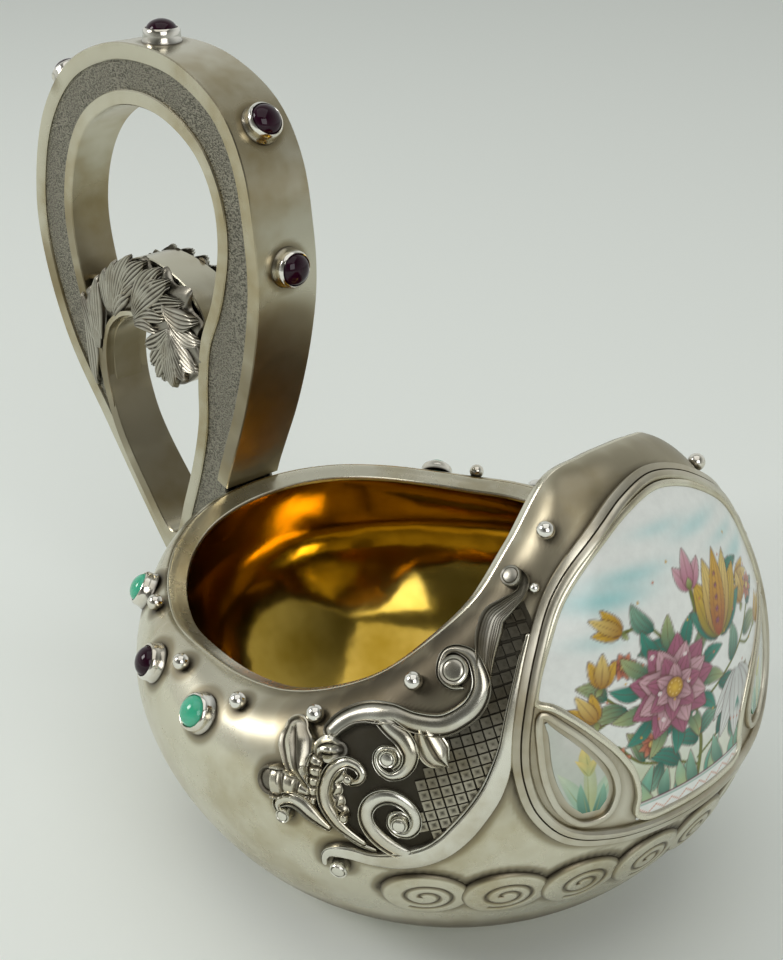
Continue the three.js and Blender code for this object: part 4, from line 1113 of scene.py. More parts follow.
lattice_area = (
    (31.3, 0.915), (31.8, 0.885), (33.6, 0.84), (34.9, 0.79), (36, 0.745), (37.2, 0.7), (39.2, 0.66),
    (41.6, 0.62), (44.2, 0.59), (46.8, 0.575), (49, 0.59), (50, 0.64), (50.3, 0.7), (49, 0.75), (46.8, 0.79),
    (45, 0.83), (41.6, 0.83), (40.2, 0.86), (39.2, 0.9), (38, 0.935), (34.4, 0.95), (31.6, 0.945),
)
tile_pitch = 2.5 * mm
tile_side = 2.36 * mm
tile_rise = 0.5 * mm
tile_way = -17
# The dark column is painted shade in the dimple and at the foot of each tile.
tile_profile = (
    (0, -0.2, 1), (1, -0.2, 1), (1, 0.6, 0.9), (0.88, 1, 0.05), (0.62, 0.96, 0.1), (0.3, 0.62, 0.55),
    (0, 0.45, 0.85),
)
lattice_middle = (42.5, 0.7)
lattice_reach = 16
tile_dark_low = 0.1
tile_dark_high = 0.86
tile_dark_from = 0.66
tile_dark_until = 0.82
arch_lift = 0.02 * mm


def inside(area, turn, share):
    hits = 0
    for (x0, y0), (x1, y1) in zip(area, area[1:] + area[:1]):
        if (y0 > share) != (y1 > share) and turn < x0 + (x1 - x0) * (share - y0) / (y1 - y0):
            hits += 1
    return hits % 2 == 1


def tile(turn, height, dark):
    """A square of the lattice, with a dimple in its top."""
    rings = []
    for size, rise, shade_and_tarnish in tile_profile:
        ring = []
        for eighth in range(8):
            corner = 1 if eighth % 2 == 0 else math.cos(math.pi / 4)
            reach = tile_side / math.sqrt(2) * size * corner
            spot = spot_beside((turn, height), tile_way + 45 * (eighth + 1), reach)
            ring.append((on_wall(*spot, ground_high + rise * tile_rise), max(shade_and_tarnish, dark)))
        rings.append(ring)
    return skin(rings)


tiles = []
middle_height = height_at(*lattice_middle)
lattice_cos = math.cos(math.radians(tile_way))
lattice_sin = math.sin(math.radians(tile_way))
for i in range(-lattice_reach, lattice_reach + 1):
    for j in range(-lattice_reach, lattice_reach + 1):
        run = tile_pitch * (i * lattice_cos - j * lattice_sin)
        climb = tile_pitch * (i * lattice_sin + j * lattice_cos)
        turn, height = spot_beside((lattice_middle[0], middle_height), 0, run)
        height = spot_beside((turn, middle_height), 90, climb)[1]
        share = height / lip_point(turn).z
        if inside(lattice_area, turn, share):
            # The tiles are painted darker towards the top of the lattice, as shade.
            upper_shade = min(max((share - tile_dark_from) / (tile_dark_until - tile_dark_from), 0), 1)
            tiles.append(tile(turn, height, tile_dark_low + (tile_dark_high - tile_dark_low) * upper_shade))
finish_pair(joined(
    skin(plate_rings(ground_rows, 90, 120, ground_low, ground_high, ground_dark)),
    skin(plate_rings(arch_rows, 60, 50, ground_low, ground_high + arch_lift, ground_dark)),
    *tiles,
), "chased_ground", [ground_silver], ["flank_ground"])

# The wave: low rollers of sheet silver round the lower bowl, each an oval with a chased spiral groove.
# Each roller laps over the one behind it, and the row is soldered to the bowl.
roller_pitch = 19.3 * mm
roller_half_width = 10.5 * mm
roller_half_height = 7.6 * mm
roller_level = 35 * mm
roller_rise = 1.25 * mm
roller_lap = 0.4 * mm
rollers_each_side = 4
spiral_start = 0.1
spiral_end = 0.66
spiral_rounds = 1.85
spiral_easing = 0.8
groove_width = 0.05
groove_depth = 0.32
groove_dark = 0.97
roller_crown = 0.25
roller_edge = 0.86
roller_edge_dark = 0.98
roller_edge_power = 1.3
roller_sink = 0.15 * mm
roller_root = 0.3 * mm
roller_rings = 30
roller_spokes = 108
roller_mark_step = 3
roller_mark_reach = 0.6 * mm
roller_mark_fade = 2.6 * mm
roller_mark_above = 0.95
roller_mark_below = 0.5


def groove_at(angle, reach):
    """How deep the spiral groove is at a place of a roller, from 0 to 1."""
    away = 1.0
    for lap in range(-1, 3):
        wound = (angle / (2 * math.pi) + lap) / spiral_rounds
        if 0 <= wound <= 1:
            spiral = spiral_start + (spiral_end - spiral_start) * wound ** spiral_easing
            away = min(away, abs(reach - spiral))
    return math.exp(-(away / groove_width) ** 2)


def roller(turn):
    """A roller in spokes, each from under it, over its edge, to its middle."""
    per_degree = (on_wall(turn + 1, roller_level) - on_wall(turn - 1, roller_level)).length / 2
    spokes = []
    for i in range(roller_spokes):
        angle = 2 * math.pi * i / roller_spokes
        spoke = []
        for k in range(roller_rings, -1, -1):
            reach = math.sin(math.pi / 2 * k / roller_rings)
            groove = groove_at(angle, reach)
            edge = max(0.0, (reach - roller_edge) / (1 - roller_edge))
            full = max(0.0, 1 - edge ** 2)
            across = reach * roller_half_width * math.cos(angle)
            up = reach * roller_half_height * math.sin(angle)
            dome = 1 - roller_crown + roller_crown * math.cos(math.pi / 2 * reach)
            lift = roller_rise * (dome * math.sqrt(full) - groove_depth * groove)
            lift += roller_lap * across / roller_half_width * full - roller_sink * edge
            # The groove and the edge where the roller meets the bowl are painted dark, as shade with tarnish.
            dark = max(groove_dark * groove, roller_edge_dark * edge ** roller_edge_power)
            spoke.append((on_wall(turn + across / per_degree, roller_level + up, lift), dark))
        spokes.append(spoke)
    # The bowl is painted darker round each roller as shade, more above it than below.
    for spoke in spokes[::roller_mark_step]:
        place = spoke[0][0]
        most = roller_mark_above if place.z > roller_level else roller_mark_below
        mark_shade_and_tarnish(place, roller_mark_reach, roller_mark_fade, most)
    under = on_wall(turn, roller_level, -roller_root)
    for spoke in spokes:
        spoke.insert(0, (under, 0.9))
    return skin(spokes, closed=True, poles=True)


roller_turn = math.degrees(roller_pitch / bowl_half_width)
half_wave = joined(*(roller(roller_turn * (k + 0.5)) for k in range(rollers_each_side)))
wave_silver = silver_finish("wave_silver", *sheet_colours, (0.22, 0.34), 50, browned=True)
other_half = mirrored(half_wave)
finish_piece(joined(half_wave, other_half), "wave_of_rollers", [wave_silver], ["wave_band"])

# The handle: a hollow loop of two bent silver straps with matted faces let in between them. The outer
# strap's ends are soldered to the back of the bowl, and the thumb curl to the lining of the opening.
handle_length = 96 * mm
handle_height = 196 * mm
handle_root_half_width = 9.5 * mm
handle_back_half_width = 5.8 * mm
back_strap_edge = 4.8 * mm
lining_edge = 4.2 * mm
curl_thickness = 1.5 * mm
leaf_depth = 2.3 * mm
outer_handle_shares = (
    (0.0099, 0.388), (-0.003, 0.406), (-0.0334, 0.442), (-0.0933, 0.514), (-0.1523, 0.612),
    (-0.1818, 0.704), (-0.1726, 0.783), (-0.1321, 0.8755), (-0.0399, 0.942), (0.139, 0.987),
    (0.3326, 1), (0.5446, 0.988), (0.764, 0.94), (0.9262, 0.8475), (0.999, 0.715), (0.9723, 0.62),
    (0.8625, 0.501), (0.6729, 0.393), (0.4812, 0.287), (0.3233, 0.209), (0.1777, 0.168),
    (0.032, 0.158), (-0.0731, 0.158),
)
opening_shares = (
    (0.3021, 0.263), (0.2417, 0.3296), (0.1803, 0.406), (0.1417, 0.4765), (0.1334, 0.541),
    (0.1095, 0.6046), (0.0438, 0.6724), (0.0044, 0.755), (0.021, 0.817), (0.0885, 0.868),
    (0.2182, 0.903), (0.3528, 0.9138), (0.5145, 0.9005), (0.6563, 0.8597), (0.7448, 0.796),
    (0.7813, 0.714), (0.7448, 0.617), (0.6875, 0.551), (0.6405, 0.4847), (0.5759, 0.3995),
    (0.4343, 0.3122), (0.3385, 0.2653),
)
curl_shares = (
    (0.8341, 0.6), (0.6607, 0.634), (0.5483, 0.665), (0.41, 0.688), (0.2902, 0.682), (0.1795, 0.662),
    (0.1187, 0.63), (0.1058, 0.59), (0.1519, 0.545), (0.2625, 0.512), (0.3584, 0.52), (0.3879, 0.553),
    (0.3953, 0.582), (0.4653, 0.588), (0.552, 0.573), (0.604, 0.551), (0.632, 0.52), (0.635, 0.492),
    (0.627, 0.462), (0.64, 0.435), (0.72, 0.45), (0.8341, 0.5),
)


def handle_line(shares, count, closed=False):
    """Even places on the middle plane of the handle, from shares of its length and height."""
    corners = [
        Vector(((-mouth_back_reach - reach * handle_length) / mm, 0, height * handle_height / mm))
        for reach, height in shares
    ]
    places = [place * mm for place in evenly(smooth_line(corners, closed), count)]
    if closed:
        places.pop()
    return places


def handle_half_width(x):
    share = (-x - mouth_back_reach) / handle_length
    return handle_root_half_width + (handle_back_half_width - handle_root_half_width) * share


def outward_at(places, i, closed):
    """The direction square to a line of the handle, on the right of its run."""
    last = len(places) - 1
    before = places[i - 1 if closed else max(i - 1, 0)]
    after = places[(i + 1) % len(places) if closed else min(i + 1, last)]
    along = (after - before).normalized()
    return Vector((along.z, 0, -along.x))


strap_edge = 0.3 * mm
strap_columns = 24


def strap_rings(places, closed, thickness, inset=0.0):
    """A flat strap along a line of the handle. The line is its show side, and it is as thick inwards."""
    rings = []
    for i, place in enumerate(places):
        out = outward_at(places, i, closed)
        half = handle_half_width(place.x) - inset
        reach = half - strap_edge
        front = [(reach * (2 * k / strap_columns - 1), 0.0, 0.0) for k in range(strap_columns + 1)]
        back = [(-y, -thickness, 0.0) for y, *_ in front]
        turn_in = math.copysign(strap_edge, thickness)
        edge_far = [(half, -turn_in, 0.0), (half, -thickness + turn_in, 0.1)]
        edge_near = [(-half, -thickness + turn_in, 0.1), (-half, -turn_in, 0.0)]
        corners = front + edge_far + back + edge_near
        rings.append([(place + out * depth + Vector((0, y, 0)), dark) for y, depth, dark in corners])
    return rings


solder_depth = 0.5 * mm


def stopped_at_bowl(rings):
    """Ends each edge of a strap just inside the sheet of the bowl, painted dark there as shade in the corner,
    with tarnish.
    """
    middle = len(rings) // 2
    for way in (1, -1):
        for k in range(len(rings[0])):
            end = None
            i = middle
            while 0 <= i + way < len(rings):
                start, goal = rings[i][k][0], rings[i + way][k][0]
                if end is None:
                    along = (goal - start).normalized()
                    place, *_ = bowl_sheet.ray_cast(start, along, (goal - start).length)
                    if place is not None:
                        end = place + along * solder_depth
                if end is not None:
                    rings[i + way][k] = (end, 0.9)
                i += way
    return rings


handle_silver = silver_finish(
    "handle_silver", (0.56, 0.53, 0.42, 1), (0.32, 0.25, 0.12, 1), (0.18, 0.3), 22, browned=True)
matted_silver = Finish("matted_silver", Metallic=1.0, Roughness=0.45)
matting = matted_silver.grain(1500, 2, 0.5, (1, 1, 1.8)).between(0.34, 0.62)
matted_low = (0.10, 0.095, 0.075, 1)
matted_high = (0.29, 0.275, 0.22, 1)
matted_silver.feed("Base Color", matted_silver.blend(matting, matted_low, matted_high))
matted_silver.relief(matting, 0.25 * mm, 0.8)
outer_line = handle_line(outer_handle_shares, 260)
opening_line = handle_line(opening_shares, 220, True)
back_strap = finish_piece(
    skin(stopped_at_bowl(strap_rings(outer_line, False, back_strap_edge))),
    "handle_back_strap", [handle_silver], ["handle_outer_strap"])
lining = finish_piece(
    skin(strap_rings(opening_line, True, -lining_edge), True),
    "handle_lining", [handle_silver], ["handle_inner_strap"])
curl_line = handle_line(curl_shares, 220, True)
curl_rim_shares = (
    (0.612, 0.425), (0.634, 0.455), (0.645, 0.485), (0.643, 0.52), (0.614, 0.557), (0.56, 0.581),
    (0.512, 0.592), (0.462, 0.597), (0.425, 0.594),
)
curl_rim_width = 2 * mm
curl_rim_rise = 0.25 * mm
curl_rim_depth = 3.2 * mm
curl_rim_bevel = 0.4 * mm
curl_rim_top = 0.8
curl_rim_taper = 0.25


def curl_rim():
    """The polished edge of the curl, flush with the faces of the handle."""
    places = handle_line(curl_rim_shares, 90)
    rings = []
    for i, place in enumerate(places):
        out = outward_at(places, i, False)
        half = curl_rim_width / 2 * max(math.sin(math.pi * i / (len(places) - 1)), 0) ** curl_rim_taper
        top = handle_half_width(place.x) + curl_rim_rise
        corners = (
            (-1, top - curl_rim_depth), (-1, top - curl_rim_bevel), (-curl_rim_top, top),
            (curl_rim_top, top), (1, top - curl_rim_bevel), (1, top - curl_rim_depth),
        )
        rings.append([(place + out * (half * side) + Vector((0, y, 0)), 0.0) for side, y in corners])
    return skin(rings)


rims = curl_rim()
curl = finish_piece(
    joined(skin(strap_rings(curl_line, True, -curl_thickness, leaf_depth), True), mirrored(rims), rims),
    "thumb_curl", [handle_silver], ["handle_curl"])
for node in ("handle_face_left", "handle_face_right"):
    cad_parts[node].material_slots[0].material = matted_silver.material

# The leaf of the curl: one silver casting on each side of it, soldered to the curl between its edges.
# Its leaflets lap over each other, with fanned ribs, and it is painted dark between the ribs and under the
# leaflets, as shade.
leaf_silver = silver_finish("leaf_silver", (0.62, 0.59, 0.5, 1), (0.4, 0.36, 0.28, 1), (0.18, 0.3), 90)
leaf_back_shares = (
    (0.7566, 0.596), (0.7087, 0.612), (0.6902, 0.604), (0.6607, 0.636), (0.6128, 0.632), (0.5483, 0.668),
    (0.5022, 0.655), (0.41, 0.691), (0.3639, 0.674), (0.2902, 0.688), (0.2625, 0.668), (0.174, 0.668),
    (0.1758, 0.64), (0.1187, 0.624), (0.1427, 0.6), (0.1113, 0.57),
)
leaf_front_shares = (
    (0.7566, 0.596), (0.7345, 0.566), (0.7161, 0.53), (0.6718, 0.505), (0.6423, 0.536), (0.6312, 0.566),
    (0.5852, 0.568), (0.5114, 0.592), (0.4284, 0.6), (0.3731, 0.582), (0.3879, 0.553), (0.3621, 0.52),
    (0.2717, 0.51), (0.1814, 0.532), (0.1113, 0.57),
)
leaf_columns = 24
# The plate between the leaflets, the undersides and the hollows between the ribs are painted dark, as shade.
leaf_ground_dark = 0.62
leaf_under_dark = 0.9
leaf_under_depth = 1.02 * leaf_depth
leaf_fullness = 4
leaflet_rise = 1.2 * mm
leaflet_layer = 0.25 * mm
leaflet_layers = 4
leaflet_root = 0.5 * mm
leaflet_dark = 0.25
leaflet_steps = 26
leaflet_foot = 0.25
leaflet_widest = 0.62
leaflet_closing = 0.6
leaflet_tip = 0.8
leaflet_roundness = 0.14
leaflet_side_power = 8
leaflet_tip_power = 12
leaflet_start = 5
leaflet_low = 0.55
rib_steps = 8
rib_reach = 0.05
rib_reach_power = 0.7
rib_low = 0.45
rib_power = 1.2
rib_shadow = 0.7
rib_shadow_power = 1.1
leaflets = (
    ((0.742, 0.574), (0.704, 0.446), 6.2, 4, 0.8), ((0.7, 0.52), (0.752, 0.598), 6.5, 5, -1.2),
    ((0.675, 0.512), (0.696, 0.61), 6, 5, -0.6), ((0.655, 0.53), (0.652, 0.636), 5.6, 4, 0.6),
    ((0.6, 0.58), (0.61, 0.652), 6.5, 5, 0.5), ((0.578, 0.582), (0.545, 0.672), 7, 6, 1),
    ((0.56, 0.592), (0.455, 0.69), 7.5, 6, 1.6), ((0.52, 0.626), (0.368, 0.69), 6, 5, 1.2),
    ((0.58, 0.582), (0.42, 0.66), 5.2, 4, 1.4), ((0.575, 0.58), (0.472, 0.627), 4.6, 3, 1.2),
    ((0.46, 0.598), (0.3, 0.688), 8.5, 6, 1.2), ((0.462, 0.594), (0.25, 0.676), 7.5, 6, 1.6),
    ((0.464, 0.59), (0.186, 0.65), 8, 7, 2), ((0.466, 0.586), (0.278, 0.616), 5.4, 4, 1.4),
    ((0.458, 0.582), (0.322, 0.589), 4.2, 3, 1), ((0.3, 0.63), (0.12, 0.628), 7, 5, -1.6),
    ((0.29, 0.622), (0.112, 0.596), 7.5, 6, -2), ((0.275, 0.6), (0.128, 0.55), 8, 6, -2),
    ((0.272, 0.596), (0.19, 0.528), 8, 6, -1.6), ((0.268, 0.59), (0.25, 0.51), 8, 7, -1),
    ((0.272, 0.592), (0.318, 0.51), 7.5, 6, 0.8), ((0.275, 0.594), (0.375, 0.528), 7, 5, 1),
    ((0.272, 0.597), (0.4, 0.556), 5.4, 4, 1), ((0.262, 0.566), (0.338, 0.514), 4, 3, -1),
)


def handle_spot(reach_share, height_share):
    return Vector((-mouth_back_reach - reach_share * handle_length, 0, height_share * handle_height))


def leaf_plate():
    """The body of the leaf, rounded off at its edges, under the leaflets."""
    back = handle_line(leaf_back_shares, 150)
    front = handle_line(leaf_front_shares, 150)
    rings = []
    for start, end in zip(front, back):
        ring, under = [], []
        for k in range(leaf_columns + 1):
            share = k / leaf_columns
            place = start.lerp(end, share)
            half = handle_half_width(place.x)
            dome = math.sqrt(1 - abs(2 * share - 1) ** leaf_fullness)
            ring.append((Vector((place.x, half - leaf_depth * (1 - dome), place.z)), leaf_ground_dark))
            under.append((Vector((place.x, half - leaf_under_depth, place.z)), leaf_under_dark))
        rings.append(ring + under[::-1])
    return skin(rings)


def leaflet(base, tip, width, ribs, bend, layer):
    """A lobe of fanned ribs from its base to its tip. The width and the bend are in millimetres."""
    start, end = handle_spot(*base), handle_spot(*tip)
    along = end - start
    across = Vector((-along.z, 0, along.x)).normalized()
    columns = ribs * rib_steps
    wave = math.cos if ribs % 2 else math.sin
    rings = []
    for i in range(leaflet_steps + 1):
        run = i / leaflet_steps
        flare = leaflet_foot + (1 - leaflet_foot) * math.sin(math.pi / 2 * min(run / leaflet_widest, 1))
        closing = max(run - leaflet_closing, 0) / (1 - leaflet_closing)
        half = width * mm / 2 * flare * math.sqrt(1 - leaflet_tip * closing ** 2)
        sway = bend * mm * math.sin(math.pi * run)
        is_end = i in (0, leaflet_steps)
        ring, under = [], []
        for k in range(columns + 1):
            side = 2 * k / columns - 1
            rib = abs(wave(math.pi * ribs * side / 2))
            reach = run * (1 - leaflet_roundness * side ** 2)
            reach *= 1 - rib_reach * (1 - rib ** rib_reach_power)
            place = start + along * reach + across * (side * half + sway)
            edge = (1 - abs(side) ** leaflet_side_power) * (1 - run ** leaflet_tip_power)
            edge *= min(1, leaflet_start * run) * (leaflet_low + (1 - leaflet_low) * run)
            relief = (rib_low + (1 - rib_low) * rib ** rib_power) * edge
            depth = handle_half_width(place.x)
            out = depth + layer % leaflet_layers * leaflet_layer + leaflet_rise * relief
            low = depth - leaflet_root
            dark = leaflet_dark + rib_shadow * (1 - rib) ** rib_shadow_power
            ring.append((Vector((place.x, low if is_end else out, place.z)), dark))
            under.append((Vector((place.x, low, place.z)), leaf_under_dark))
        rings.append(ring + under[::-1])
    return skin(rings)


finish_pair(
    joined(leaf_plate(), *(leaflet(*row, layer) for layer, row in enumerate(leaflets))),
    "acanthus", [leaf_silver], ["handle_leaf"],
)

# The stones: garnets and chrysoprases cut as cabochons, held in flared collets of sheet silver. The
# collets are soldered to the bowl and to the handle, and their edges are pressed over the stones.
body_stone_diameter = 7.6 * mm
body_collet_height = 3 * mm
handle_stone_diameter = 8.6 * mm
handle_collet_height = 3.6 * mm
handle_mark_fade = 3.2 * mm
handle_mark_most = 0.75
collet_wall = 0.8 * mm
collet_flare = 0.45 * mm
collet_play = 0.05 * mm
collet_bevel = 0.08 * mm
collet_root = 0.3 * mm
dome_share = 0.36
girdle_share = 0.8
garnet = Finish("garnet", Roughness=0.05, Specular_IOR_Level=0.3)
garnet_colours = ((0.008, 0.001, 0.005, 1), (0.03, 0.003, 0.014, 1))
garnet.feed("Base Color", garnet.blend(garnet.grain(300, 2), *garnet_colours))
chrysoprase = Finish("chrysoprase", Roughness=0.1, Coat_Weight=0.3, Subsurface_Weight=0.15)
chrysoprase_colours = ((0.02, 0.34, 0.19, 1), (0.10, 0.52, 0.34, 1))
chrysoprase.feed("Base Color", chrysoprase.blend(chrysoprase.grain(260, 3), *chrysoprase_colours))


def stone_profile(diameter, height):
    radius = diameter / 2
    girdle = girdle_share * height
    swings = [math.pi / 2 * (1 - k / 12) for k in range(13)]
    dome = [(radius * math.cos(s), girdle + dome_share * diameter * math.sin(s), 0.0) for s in swings]
    return [*dome, (radius, 0, 0.0), (0, 0, 0.0)]


def collet_profile(diameter, height):
    inner = diameter / 2 + collet_play
    outer = inner + collet_wall
    # The collet is painted dark inside and round its foot, as shade.
    return [
        (inner, 0.3 * height, 0.9), (inner, 0.92 * height, 0.5), (inner + collet_bevel, 1.02 * height, 0),
        (inner + 0.3 * collet_wall, 1.04 * height, 0), (inner + 0.7 * collet_wall, 0.95 * height, 0),
        (outer, 0.78 * height, 0), (outer, 0.5 * height, 0),
        (outer + 0.25 * collet_flare, 0.28 * height, 0.15), (outer + 0.7 * collet_flare, 0.12 * height, 0.3),
        (outer + collet_flare, 0, 0.7), (outer + collet_flare, -collet_root, 1), (inner, -collet_root, 1),
        (inner, 0.3 * height, 0.9),
    ]


def setting(foot, normal, diameter, height):
    """A collet and the stone in it."""
    collet = turned(collet_profile(diameter, height), foot, normal)
    return collet, turned(stone_profile(diameter, height), foot, normal)


bead_silver = silver_finish("bead_silver", (0.84, 0.82, 0.76, 1), (0.66, 0.6, 0.48, 1), (0.1, 0.2), 80)
body_stones = (
    ("front", 96, 0.909, chrysoprase, "chrysoprase"), ("middle", 114, 0.9105, garnet, "garnet"),
    ("back", 137, 0.9489, chrysoprase, "chrysoprase"),
)
for name, turn, share, finish, slot in body_stones:
    foot, normal = spot_on_wall(turn, height_at(turn, share))
    mark_shade_and_tarnish(foot, body_stone_diameter / 2 + collet_wall + collet_flare)
    collet, stone = setting(foot, normal, body_stone_diameter, body_collet_height)
    finish_pair(collet, f"{name}_collet", [bead_silver], [f"bowl_collet_{name}"])
    finish_pair(stone, f"{name}_cabochon", [finish], [f"bowl_stone_{name}"])

strap_marks = []
handle_stone_runs = (("lower", 0.173), ("upper", 0.267), ("top", 0.377), ("back", 0.5))
for name, run in handle_stone_runs:
    index = round(run * (len(outer_line) - 1))
    foot, normal = outer_line[index], outward_at(outer_line, index, False)
    reach = handle_stone_diameter / 2 + collet_wall
    mark_shade_and_tarnish(foot, reach, handle_mark_fade, handle_mark_most, strap_marks)
    collet, stone = setting(foot, normal, handle_stone_diameter, handle_collet_height)
    finish_piece(collet, f"handle_{name}_collet", [bead_silver], [f"handle_collet_{name}"])
    finish_piece(stone, f"handle_{name}_cabochon", [garnet], [f"handle_stone_{name}"])

# The beads: little balls of cast silver along the scrolls, beside the frame and between the stones.
# Each has a flat under it, where it is soldered to the bowl.
bead_diameter = 4.2 * mm
small_bead_diameter = 2.4 * mm
bead_flat_swing = math.pi / 4


def bead_profile(diameter):
    radius = diameter / 2
    rise = radius * math.sin(bead_flat_swing)
    swings = [math.pi / 2 - (math.pi / 2 + bead_flat_swing) * k / 16 for k in range(17)]
    # The ball is painted darker towards its flat, as shade under it.
    ball = [(radius * math.cos(s), rise + radius * math.sin(s), max(0.0, -math.sin(s))) for s in swings]
    return [*ball, (0, 0, 1.0)]


frame_line = wall_line(frame_shares, True)


def frame_place(run_share):
    spot = point_of(frame_line, run_share)
    return spot.x, spot.y * mm


bead_places = [
    ("bead_1", bead_diameter, spot_beside(frame_place(0.091), 42.7, 6.3 * mm)),
    ("small_bead", small_bead_diameter, spot_beside(frame_place(0.1295), 31.1, 3.6 * mm)),
] + [
    (f"bead_{k}", bead_diameter, (turn, height_at(turn, share))) for k, turn, share in (
        (2, 51.4, 0.9553), (3, 69.8, 0.9623), (4, 89, 0.9705), (5, 107, 0.9729), (6, 129, 0.9892))
]
for name, diameter, place in bead_places:
    foot, normal = spot_on_wall(*place)
    mark_shade_and_tarnish(foot, diameter / 2)
    finish_pair(turned(bead_profile(diameter), foot, normal), f"{name}_ball", [bead_silver], [name])

# The darkening: each corner of the bowl and of the picture's bed is darkened by the marks near it. The silver
# is darker above the scrolls too, and round the frame.
flank_darkening_line = (
    (33, 0.98, 0.74), (37, 0.975, 0.84), (41, 0.97, 0.9), (46, 0.985, 0.92), (50, 0.96, 0.92),
    (54, 0.97, 0.92), (58, 0.985, 0.9), (63, 0.975, 0.88), (68, 0.97, 0.8), (73, 0.97, 0.6),
    (80, 0.98, 0.3), (34.5, 0.62, 0.3), (0, 0.985, 0.4), (8, 0.985, 0.42), (16, 0.985, 0.44),
    (24, 0.985, 0.46), (29, 0.97, 0.5), (34.5, 0.68, 0.5), (34, 0.75, 0.6), (32, 0.82, 0.5),
    (29.5, 0.88, 0.3), (24, 0.905, 0.15), (31, 0.93, 0.45),
)
darkening_reach = 4 * mm
darkening_fade = 11 * mm
darkening_marks = []
for turn, share, most in flank_darkening_line:
    mark_shade_and_tarnish(on_wall(turn, height_at(turn, share)), darkening_reach, darkening_fade, most, darkening_marks)
# A band low round the bowl is painted dark: the painted reflection of the shaded floor under it.
floor_reflection_height = 13 * mm
floor_reflection_turn = 6
floor_reflection_most = 0.75
for turn in range(0, 181, floor_reflection_turn):
    place = on_wall(turn, floor_reflection_height)
    mark_shade_and_tarnish(place, darkening_reach, darkening_fade, floor_reflection_most, darkening_marks)
# The back strap is painted darker where it faces the gilt inside of the bowl, as a painted reflection of it,
# and at two places further along. The lining and the curl are darker along the back of the opening.
strap_darkening = ((0.03, 0.6), (0.06, 0.62), (0.09, 0.6), (0.12, 0.45), (0.66, 0.3), (0.97, 0.5))
strap_darkening_reach = 9 * mm
lining_darkening = ((0.7, 0.3), (0.76, 0.45), (0.82, 0.5), (0.88, 0.5), (0.94, 0.45))
lining_marks = []
for line, smoke, marks in (
    (outer_line, strap_darkening, strap_marks), (opening_line, lining_darkening, lining_marks),
):
    for run, most in smoke:
        mark_shade_and_tarnish(point_of(line, run), strap_darkening_reach, darkening_fade, most, marks)
picture_darkening = 0.4
casting_darkening = 0.65
darkening_power = 1.5


def darken_near_marks(piece, marks, depth=1.0):
    """Darkens a piece near the marks. Marks of the left flank count on both."""
    tree = kdtree.KDTree(len(marks))
    for index, (place, *_) in enumerate(marks):
        tree.insert(place, index)
    tree.balance()
    widest_mark = max(reach + fade for _, reach, fade, _ in marks)
    shade_and_tarnish = piece.data.attributes["shade_and_tarnish"].data
    for vert in piece.data.vertices:
        spot = Vector((vert.co.x, abs(vert.co.y), vert.co.z))
        dark = shade_and_tarnish[vert.index].value
        for _, index, distance in tree.find_range(spot, widest_mark):
            _, reach, fade, most = marks[index]
            share = 1 - min(max((distance - reach) / fade, 0), 1)
            dark = max(dark, depth * most * share ** darkening_power)
        shade_and_tarnish[vert.index].value = dark


darken_near_marks(bowl, shade_and_tarnish_marks + darkening_marks)
darken_near_marks(bed, shade_and_tarnish_marks, picture_darkening)
darken_near_marks(surround, darkening_marks, picture_darkening)
darken_near_marks(back_strap, strap_marks)
darken_near_marks(lining, lining_marks)
darken_near_marks(curl, lining_marks)
for casting in front_castings:
    darken_near_marks(casting, darkening_marks, casting_darkening)

# The studio: a plain floor of pale paper, soft lamps overhead and at both sides, and a camera at the
# photograph's place. Nothing of it belongs to the object.
floor_reach = 4.0
floor_colour = (0.86, 0.9, 0.865, 1)
floor_mesh = bmesh.new()
bmesh.ops.create_grid(floor_mesh, x_segments=1, y_segments=1, size=floor_reach)
floor_data = bpy.data.meshes.new("studio_floor")
floor_mesh.to_mesh(floor_data)
floor_mesh.free()
floor = bpy.data.objects.new("studio_floor", floor_data)
bpy.context.scene.collection.objects.link(floor)
floor_finish = Finish("floor_paper", Roughness=0.95)
floor_finish.shader.inputs["Base Color"].default_value = floor_colour
floor_data.materials.append(floor_finish.material)

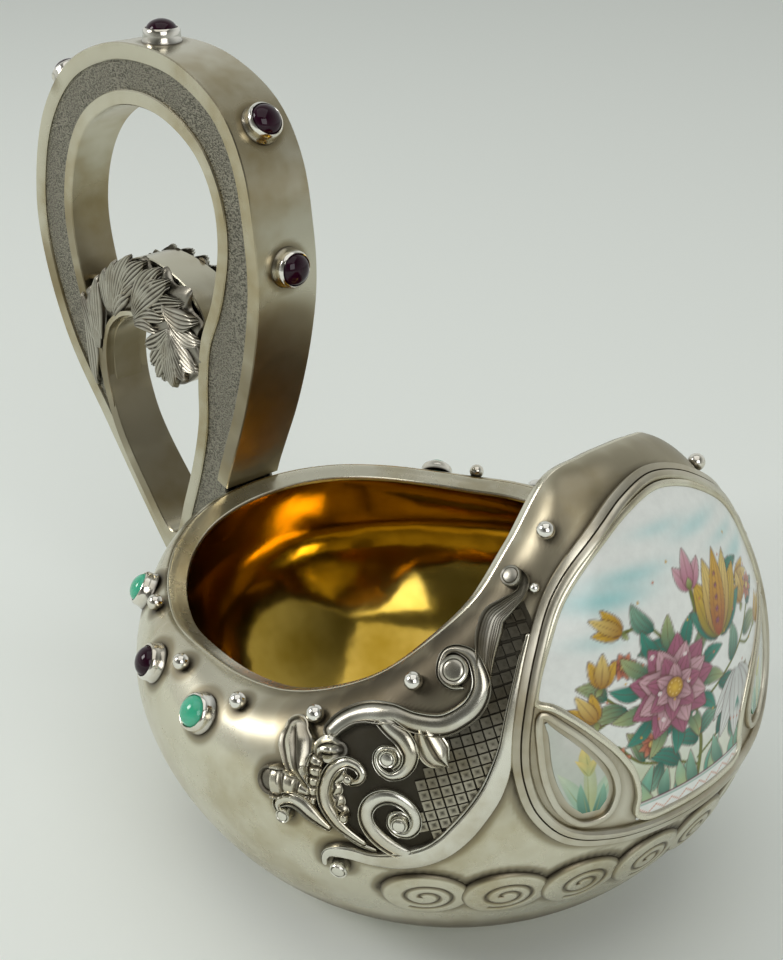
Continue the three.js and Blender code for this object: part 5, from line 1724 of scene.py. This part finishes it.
sky_direction = (0.42, -0.42, 0.75)
sky_bright = (0.68, 0.70, 0.68, 1)
sky_dim = (0.08, 0.08, 0.07, 1)
sky_dim_from = 0.8
world = bpy.data.worlds.new("studio_light")
world.use_nodes = True
sky = world.node_tree
sky_way = sky.nodes.new("ShaderNodeTexCoord")
sky_fall = sky.nodes.new("ShaderNodeVectorMath")
sky_fall.operation = "DOT_PRODUCT"
sky_fall.inputs[1].default_value = sky_direction
sky_ramp = sky.nodes.new("ShaderNodeValToRGB")
sky.links.new(sky_way.outputs["Generated"], sky_fall.inputs[0])
sky.links.new(sky_fall.outputs["Value"], sky_ramp.inputs[0])
sky.links.new(sky_ramp.outputs[0], sky.nodes["Background"].inputs["Color"])
sky_ramp.color_ramp.elements[0].color = sky_bright
sky_ramp.color_ramp.elements[1].color = sky_dim
sky_ramp.color_ramp.elements[1].position = sky_dim_from
bpy.context.scene.world = world


def set_up(holder, place, target):
    """Puts a lamp or the camera at its place, facing its target."""
    holder.location = place
    holder.rotation_euler = (Vector(target) - Vector(place)).to_track_quat("-Z", "Y").to_euler()
    bpy.context.scene.collection.objects.link(holder)


def lamp(name, place, target, size, power, colour):
    light = bpy.data.lights.new(name, "AREA")
    light.shape = "RECTANGLE"
    light.size, light.size_y = size
    light.energy = power
    light.color = colour
    set_up(bpy.data.objects.new(name, light), place, target)


lamp("soft_top", (0.4, -0.4, 3.3), (0, 0, 0), (3.6, 3.6), 34, (1, 0.995, 0.98))
lamp("key_left", (-0.9, -1.1, 1.0), (0, -0.1, 0.05), (0.5, 0.6), 9, (1, 0.985, 0.96))
lamp("fill_right", (1.5, -0.7, 0.9), (0.1, -0.1, 0), (1.1, 1.1), 10, (0.98, 0.99, 1))

camera_data = bpy.data.cameras.new("photo_view")
camera_data.sensor_width = 36
camera_data.lens = 63.75
camera = bpy.data.objects.new("photo_view", camera_data)
camera_place = (0.26957, -0.27320, 0.28270)
view_target = (-0.0234, 0, 0.0959)
set_up(camera, camera_place, view_target)
bpy.context.scene.camera = camera
bpy.context.scene.view_settings.view_transform = "Standard"
